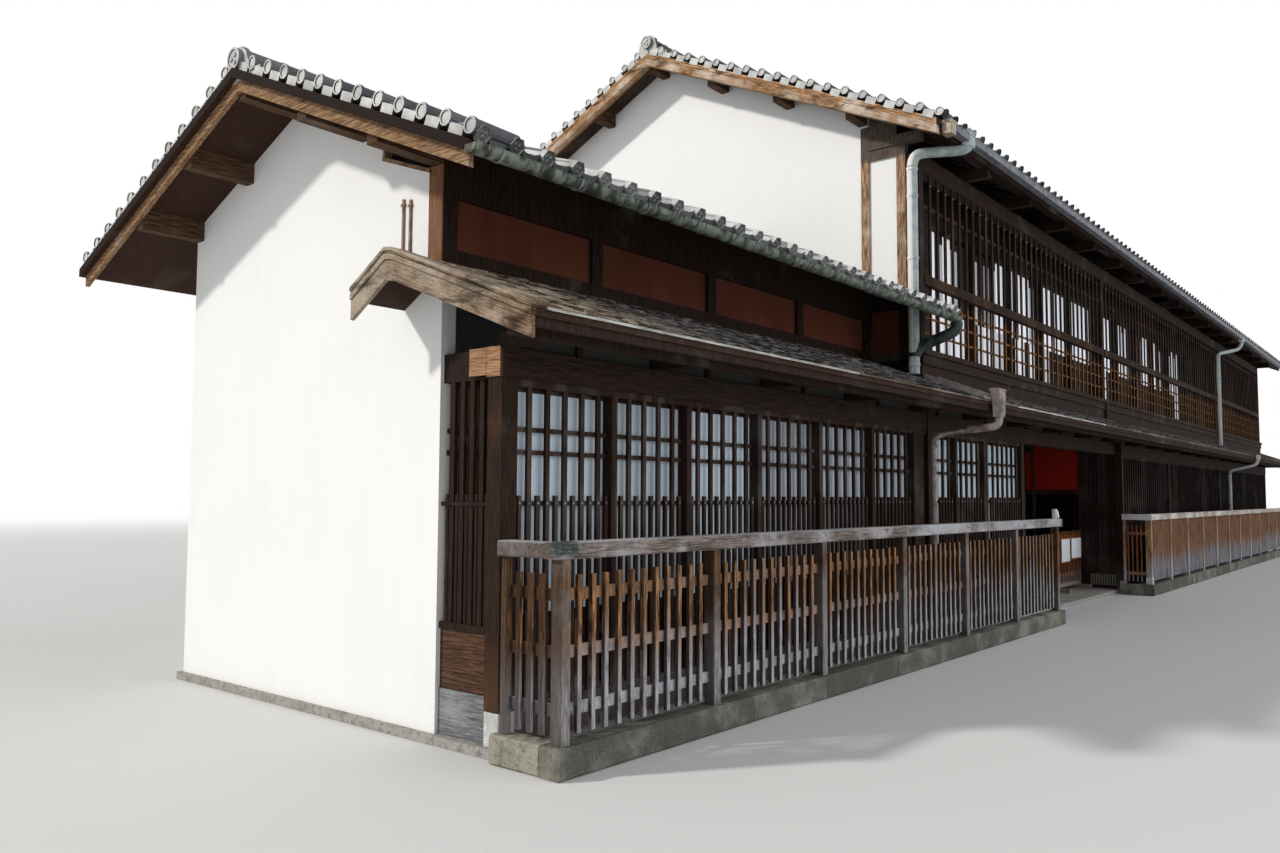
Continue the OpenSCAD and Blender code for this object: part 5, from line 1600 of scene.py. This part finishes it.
@dataclass
class RainGoods:
    """Gutters with their straps, downpipes with collars, outlet boxes and the copper hopper."""

    wing_gutter: tuple[float, float] = (-0.375, 3.548)
    main_edge: tuple[float, float] = (-0.42, 5.594)

    def collar(self, form: Form, x: float, y: float, z: float, radius: float) -> None:
        """Adds a collar round an upright pipe."""
        rim, band = radius + 0.003, radius + 0.006
        form.disc((x, y, z), UP, TO_RIGHT, [(rim, 0.0), (band, 0.006), (band, 0.034), (rim, 0.04)], 16)

    def shell(self, form: Form, radii: tuple[float, float], steps: int, x0: float,
              x1: float) -> list[tuple[float, float]]:
        """Adds a half-round shell about the wing gutter's line.

        Args:
            form: Where it goes.
            radii: Its outer and inner radius.
            steps: Sides of the half round.
            x0: Its left end.
            x1: Its right end.

        Returns:
            The (y, z) points of its outer side.
        """
        y, z = self.wing_gutter
        outer, inner = (
            [(y + radius * math.cos(a), z + radius * math.sin(a))
             for a in (start + way * math.pi * k / steps for k in range(steps + 1))]
            for radius, start, way in ((radii[0], math.pi, 1), (radii[1], 2 * math.pi, -1)))
        for k in range(steps):
            form.prism([outer[k], outer[k + 1], inner[steps - 1 - k], inner[steps - k]], x0, x1, 0.5)
        return outer

    def gutters(self, copper: Material, sheet: Material) -> None:
        """Builds the half-round gutter of the wing and the square one of the main roof."""
        y, z = self.wing_gutter
        wing = Form(44)
        outer = self.shell(wing, (0.055, 0.050), 12, -0.62, 6.35)
        for a in (-0.619, 6.344):
            wing.prism(outer, a, a + 0.005, 0.5)
        for side in (-0.0525, 0.0525):
            wing.tube([(-0.61, y + side, z + 0.001), (6.345, y + side, z + 0.001)], 0.0055, 6, 0.9)
        y, z = self.main_edge
        main = Form(45)
        wide, deep, gauge = 0.090, 0.080, 0.006
        start, length, end = 5.86, 1.83, 31.43
        for i in range(14):
            a, b = start + i * length, min(start + (i + 1) * length, end) - 0.003
            main.box((a, y - wide, z - deep), (b, y - wide + gauge, z), 0.0, 0.5)
            main.box((a, y - wide + gauge, z - deep), (b, y, z - deep + gauge), 0.0, 0.5)
            main.box((a, y - gauge, z - deep + gauge), (b, y, z), 0.0, 0.5)
            main.box((a, y - 0.0935, z - 0.010), (b, y - 0.0905, z + 0.002), 0.0, 1.0)
            if i:
                main.box((a - 0.016, y - 0.0925, z - 0.082), (a + 0.012, y - 0.0905, z - 0.010), 0.0, 0.9)
        wing.piece("wing_gutter", copper, "rain_metal", ("gutters",))
        main.piece("main_gutter", sheet, "rain_metal")

    def boxes(self, finish: Material) -> None:
        """Builds the box on the main gutter's end."""
        form = Form(46)
        y, z = self.main_edge
        form.box((5.850, y - 0.108, z - 0.148), (5.988, y - 0.002, z - 0.001), 0.008, 0.7)
        form.box((5.842, y - 0.114, z - 0.030), (5.996, y - 0.001, z + 0.004), 0.004, 0.9)
        form.piece("gutter_end_box", finish, "rain_metal")

    def pipes(self, finish: Material) -> None:
        """Builds the grey pipes with their collars, and the outlet boxes over them."""
        form = Form(41)
        y, z = self.main_edge
        runs = (
            ([(6.09, 0.02, 2.937), (6.09, 0.02, 5.31), (6.13, -0.03, 5.40), (6.43, -0.42, 5.43),
              (6.475, -0.47, 5.475)], 0.058, (3.02, 4.2, 4.9, 5.2)),
            ([(23.25, -0.11, 2.87), (23.25, -0.11, 5.09), (24.15, -0.39, 5.27), (24.25, -0.465, 5.40),
              (24.25, -0.465, 5.50)], 0.042, (3.0, 3.7, 4.4, 4.98)),
            ([(24.24, -0.125, 0.18), (24.24, -0.125, 2.28), (24.24, -0.70, 2.42), (24.24, -0.74, 2.60)],
             0.036, (0.4, 1.3, 2.15)),
        )
        for path, radius, _ in runs:
            form.tube(rounded(path, 0.10), radius, 18)
        for path, radius, collars in runs:
            for low in collars:
                self.collar(form, *path[0][:2], low, radius)
        form.box((6.405, y - 0.100, z - 0.130), (6.545, y - 0.002, z + 0.002), 0.010, 0.6)
        form.box((6.398, y - 0.100, z - 0.020), (6.552, y - 0.001, z + 0.030), 0.004, 0.8)
        form.box((6.386, y - 0.109, z + 0.0305), (6.564, y + 0.006, z + 0.058), 0.008, 0.9)
        form.box((24.16, y - 0.095, z - 0.124), (24.36, y - 0.002, z + 0.002), 0.008)
        form.box((24.18, -0.775, 2.56), (24.30, -0.700, 2.66), 0.006)
        form.piece("downpipe_runs", finish, "rain_metal", ("rain_pipes",))

    def leader(self, finish: Material) -> None:
        """Builds the bent leader from the wing gutter to the downpipe."""
        form = Form(47)
        form.tube(rounded([(6.30, -0.375, 3.50), (6.30, -0.375, 3.40), (6.13, -0.02, 3.24),
                           (6.092, 0.018, 3.14)], 0.12, 7), 0.062, 16)
        for x, y, z in ((6.30, -0.375, 3.46), (6.09, 0.02, 3.13)):
            self.collar(form, x, y, z, 0.060)
        form.piece("gutter_leader", finish, "rain_metal")

    def hopper(self, finish: Material) -> None:
        """Builds the copper trough on the pent roof, its hopper and the pipe below it."""
        form = Form(42)
        y0, y1 = -0.70, -0.045
        slope = PentRoof.slope
        z0 = 2.648 - 0.02 * slope
        z1 = z0 + slope * (y1 - y0)
        for a, b, lift in ((6.205, 6.217, 0.058), (6.563, 6.575, 0.058), (6.217, 6.563, 0.036)):
            form.prism([(y0, z0), (y1, z1), (y1, z1 + lift), (y0, z0 + lift)], a, b, 0.4)
        form.box((6.375, -0.7915, 2.735), (6.625, -0.690, 2.762), 0.006, 1.0)
        corners = [(0, 0), (1, 0), (1, 1), (0, 1)]
        rings = [[(x0 + (x1 - x0) * a, q0 + (q1 - q0) * b, z) for a, b in corners] for z, x0, x1, q0, q1 in (
            (2.46, 6.455, 6.575, -0.784, -0.700), (2.60, 6.435, 6.590, -0.786, -0.700),
            (2.735, 6.395, 6.610, -0.788, -0.698))]
        form.add([p for ring in rings for p in ring], [(3, 2, 1, 0), (8, 9, 10, 11)] + [
            (4 * r + k, 4 * r + (k + 1) % 4, 4 * r + 4 + (k + 1) % 4, 4 * r + 4 + k)
            for r in range(2) for k in range(4)], 0.6)
        form.box((6.428, -0.7895, 2.592), (6.597, -0.697, 2.612), 0.005, 0.9)
        form.tube(rounded([(6.52, -0.742, 2.47), (6.50, -0.735, 2.36), (6.36, -0.45, 2.325)], 0.10, 7), 0.042,
                  16, 0.6)
        form.tube(rounded([(6.42, -0.57, 2.340), (6.30, -0.22, 2.285), (6.24, -0.125, 2.24),
                           (6.24, -0.125, 0.18)], 0.07),
                  0.028, 14, 0.4)
        for z in (0.4, 1.3, 2.13):
            self.collar(form, 6.24, -0.125, z, 0.032)
        form.piece("copper_hopper", finish, "rain_metal")

    def brackets(self, finish: Material) -> None:
        """Builds the straps that carry both gutters."""
        form = Form(43)
        for i in range(11):
            x = -0.42 + i * 0.66
            self.shell(form, (0.060, 0.0555), 10, x, x + 0.018)
        y, z = self.main_edge
        for i in range(42):
            x = 6.08 + i * 0.61
            form.box((x, y - 0.094, z - 0.0845), (x + 0.014, y, z - 0.0805), 0.0)
        form.piece("gutter_straps", finish, "rain_metal")


@dataclass
class SmallParts:
    """Boards, feet and fittings on the walls, the entry and the barrier."""

    def wall_strips(self, finish: Material) -> None:
        """Builds the two rusty upright strips on the left wall."""
        form = Form(81)
        for y, z0, z1 in ((1.024, 3.262, 3.636), (0.946, 3.25, 3.62)):
            form.box((-0.014, y - 0.012, z0), (0.001, y + 0.012, z1), 0.003)
            form.box((-0.018, y - 0.018, z1 - 0.05), (0.001, y + 0.018, z1 - 0.03), 0.003)
        form.piece("wall_strips", finish, "rain_metal")

    def vent(self, dark: Material, wood: Material) -> None:
        """Builds the dark board that stands for the shade in the opening under the wing's verge, and its sill
        strip.
        """
        board, sill = Form(82), Form(83)
        # The near-black board is painted shade inside the opening.
        board.prism([(0.722, 3.760), (1.278, 3.963), (1.278, 4.214), (0.722, 3.975)], 0.075, 0.09)
        sill.prism([(0.722, 3.760), (1.278, 3.964), (1.278, 3.992), (0.722, 3.788)], -0.012, 0.06)
        sill.prism([(1.255, 3.955), (1.278, 3.963), (1.278, 4.214), (1.255, 4.204)], -0.008, 0.05)
        board.piece("vent_board", dark, "dark_timber")
        sill.piece("vent_sill", wood, "edge_timber")

    def corner_face(self, finish: Material) -> None:
        """Builds the facing on the end of the wing's upper corner post; its orange is painted sunlight."""
        blocks("corner_facing", 84, finish, "edge_timber", 0.003,
               ((-0.012, 0.602, 3.142), (0.0005, 0.745, 3.80)))

    def feet(self, finish: Material) -> None:
        """Builds the metal shoes of the entry post, the right fence's end post and the corner post."""
        blocks("post_shoes", 85, finish, "rain_metal", 0.004,
               ((14.095, -0.116, 0.001), (14.225, -0.034, 0.20)),
               ((13.866, -0.590, 0.181), (13.964, -0.492, 0.30)),
               ((-0.004, -0.004, 0.061), (0.134, 0.129, 0.27)))

    def side(self, m: dict[str, Material]) -> None:
        """Builds boards, slats, rails and facings of the left side, and the slats at the entry's foot."""
        back, slats, pale = Form(88), Form(89), Form(92)
        for y in (0.135, 0.252, 0.369, 0.486):
            back.box((0.0845, y, 0.779), (0.0895, y + 0.112, 2.328))
        for y in (0.177, 0.271, 0.365, 0.459, 0.553):
            slats.box((0.033, y - 0.014, 0.777), (0.052, y + 0.014, 1.60), 0.002)
        for z in (1.27, 2.0):
            slats.box((0.0605, 0.131, z), (0.084, 0.599, z + 0.031), 0.002)
        slats.box((0.022, 0.131, 1.525), (0.0325, 0.599, 1.551), 0.002)
        for i in range(10):
            pale.box((14.1185, 0.028 + i * 0.042, 0.112), (14.1248, 0.052 + i * 0.042, 0.298))
        back.piece("side_back_boards", m["inner_timber"], "dark_timber")
        slats.piece("side_slats", m["lattice_timber"], "dark_timber")
        for name, seed, finish, *corners in (
                # The beam end facing is a patch of painted sunlight.
                ("beam_end_facing", 94, "beam_end_timber",
                 ((-0.0135, 0.1415, 2.348), (-0.0101, 0.302, 2.522)),
                 ((-0.0135, 0.012, 2.336), (-0.0101, 0.1385, 2.524))),
                # The corner post facing carries partly painted sunlit highlights.
                ("corner_post_facing", 96, "corner_timber",
                 ((-0.0035, 0.002, 0.272), (-0.0001, 0.1295, 2.329))),
                ("side_foot_board", 90, "foot_timber", ((0.0255, 0.131, 0.062), (0.0298, 0.599, 0.352))),
                ("side_middle_board", 91, "board_brown_timber",
                 ((0.0355, 0.131, 0.357), (0.0398, 0.599, 0.733)))):
            blocks(name, seed, m[finish], "dark_timber", 0.0, *corners)
        pale.piece("entry_foot_slats", m["slat_timber"], "dark_timber")

    def corner_return(self, finish: Material) -> None:
        """Builds the dark posts and the rail round the plaster panel between the wing and the main front."""
        form = Form(95)
        form.box((6.196, 0.5815, 3.00), (6.33, 0.5995, 3.895), 0.003)
        form.box((6.20, 0.133, 3.062), (6.30, 0.2445, 3.897), 0.004)
        form.box((6.204, 0.246, 3.062), (6.256, 0.581, 3.199), 0.003)
        form.prism([(0.2455, 3.69), (0.5995, 3.69), (0.5995, 3.915), (0.2455, 3.765)], 6.190, 6.1995)
        form.piece("corner_return_frame", finish, "dark_timber")

    def rear(self, finish: Material) -> None:
        """Builds the frames and bars of the rear windows."""
        form = Form(93)
        y = 2 * MAIN_RIDGE_Y - WALL_Y
        for i in range(6):
            x0, x1 = 7.7 + i * 3.94, 9.5 + i * 3.94
            for z0 in (0.9, 3.9):
                z1 = z0 + 1.2
                for a, b, c, d in ((x0 - 0.05, x1 + 0.05, z0 - 0.06, z0),
                                   (x0 - 0.05, x1 + 0.05, z1, z1 + 0.06),
                                   (x0 - 0.05, x0, z0, z1), (x1, x1 + 0.05, z0, z1)):
                    form.box((a, y - 0.038, c), (b, y + 0.022, d), 0.004)
                for k in range(1, 16):
                    x = x0 + (x1 - x0) * k / 16
                    form.box((x - 0.017, y - 0.036, z0 + 0.001), (x + 0.017, y - 0.012, z1 - 0.001), 0.0)
                for z in (z0 + 0.38, z0 + 0.80):
                    form.box((x0 + 0.001, y - 0.0385, z), (x1 - 0.001, y - 0.0365, z + 0.03), 0.0)
        form.piece("rear_window_bars", finish, "dark_timber")

    def notices(self, finish: Material) -> None:
        """Builds the two bare sheets on the barrier's boards."""
        blocks("notice_sheets", 86, finish, "paper", 0.0, ((12.90, 0.5355, 0.54), (13.34, 0.5385, 0.91)),
               ((13.44, 0.5355, 0.58), (13.97, 0.5385, 0.91)))

    def soffit(self, finish: Material) -> None:
        """Builds the rafters under both main eaves."""
        form = Form(87)
        front_z, deck, depth = 5.799, 0.07, 0.045
        for i in range(70):
            x = 6.02 + i * RAFTER_PITCH
            for mirror in (False, True):
                ys = (-0.36, -0.285, -0.175, 0.595)
                for a, b in ((ys[0], ys[1]), (ys[2], ys[3])):
                    za, zb = (front_z + MAIN_SLOPE * y - deck for y in (a, b))
                    pts = [(a, za - depth), (b, zb - depth), (b, zb), (a, za)]
                    if mirror:
                        pts = [(2 * MAIN_RIDGE_Y - y, z) for y, z in reversed(pts)]
                    form.prism(pts, x, x + 0.038)
        form.piece("eave_rafters", finish, "dark_timber")


def main() -> None:
    """Builds the looks of the house."""
    logging.basicConfig(level=logging.INFO, format="%(message)s")
    View().build()
    Studio().build()
    finishes = Finishes()
    finishes.build()
    m = finishes.made
    for finish, names in WORN_BY.items():
        for name in names.split():
            finishes.dress(name, finish)
    main_roof = TiledRoof("main_roof", x0=5.81, x1=31.39, ridge_y=MAIN_RIDGE_Y, eave_y=-0.42, peak=7.4521,
                          slope=MAIN_SLOPE, rows=18, columns=98, sides=12, layers=5, ridge_w=0.26,
                          far_verge=True, cap=0.048)
    wing_roof = TiledRoof("wing_roof", x0=-0.5476, x1=6.46, ridge_y=WING_RIDGE_Y, eave_y=-0.33, peak=4.7197,
                          slope=0.43, rows=12, columns=27, sides=6, layers=3, ridge_w=0.24, far_verge=False,
                          cap=0.052)
    main_roof.tiles(m["roof_tile"], ((0, 18, 98),))
    main_roof.edges(m["verge_tile"], m["shaded_eave_tile"], 98, lift=0.015)
    main_roof.face_boards(m["verge_timber"], 5.7645, 0.070, 0.095)
    wing_roof.tiles(m["roof_tile"], ((0, 1, 27), (1, 1, 25), (2, 10, 26)), 26)
    wing_roof.edges(m["verge_tile"], m["verge_tile"], 27, 26)
    ridges, ends = Form(12), Form(18)
    main_roof.ridge(ridges, ends, 31.39)
    wing_roof.ridge(ridges, ends, 6.2)
    ridges.piece("ridge_tiles", m["roof_tile"], "roof_tile", ("roof_ridges",))
    ends.piece("ridge_ends", m["verge_tile"], "roof_tile")
    pent = PentRoof()
    pent.shingles(m["shingles"])
    pent.edge(m["strip_timber"], m["cover_timber"])
    pent.rafters(m["dim_timber"])
    pent.gable(m["gable_timber"], m["cover_timber"])
    screens = Screens()
    screens.street(m["paper"], m["lattice_timber"])
    screens.upstairs(m["upper_paper"], m["screen_timber"])
    screens.nails(m["nail_metal"])
    screens.hooks(m["nail_metal"])
    fence = Fence()
    fence.left(m)
    fence.fittings(m)
    fence.right(m)
    fence.kerbs(m)
    rain = RainGoods()
    rain.gutters(m["copper_metal"], m["sheet_metal"])
    rain.boxes(m["tan_metal"])
    rain.pipes(m["rain_metal"])
    rain.leader(m["leader_metal"])
    rain.hopper(m["hopper_metal"])
    rain.brackets(m["sheet_metal"])
    parts = SmallParts()
    parts.wall_strips(m["rust_metal"])
    parts.vent(m["dim_timber"], m["edge_timber"])
    parts.corner_face(m["painted_sun_facing_timber"])
    parts.feet(m["shoe_metal"])
    parts.side(m)
    parts.corner_return(m["dark_timber"])
    parts.rear(m["dim_timber"])
    parts.notices(m["notice_paper"])
    parts.soffit(m["dim_timber"])
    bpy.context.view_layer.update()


if __name__ == "__main__":
    main()
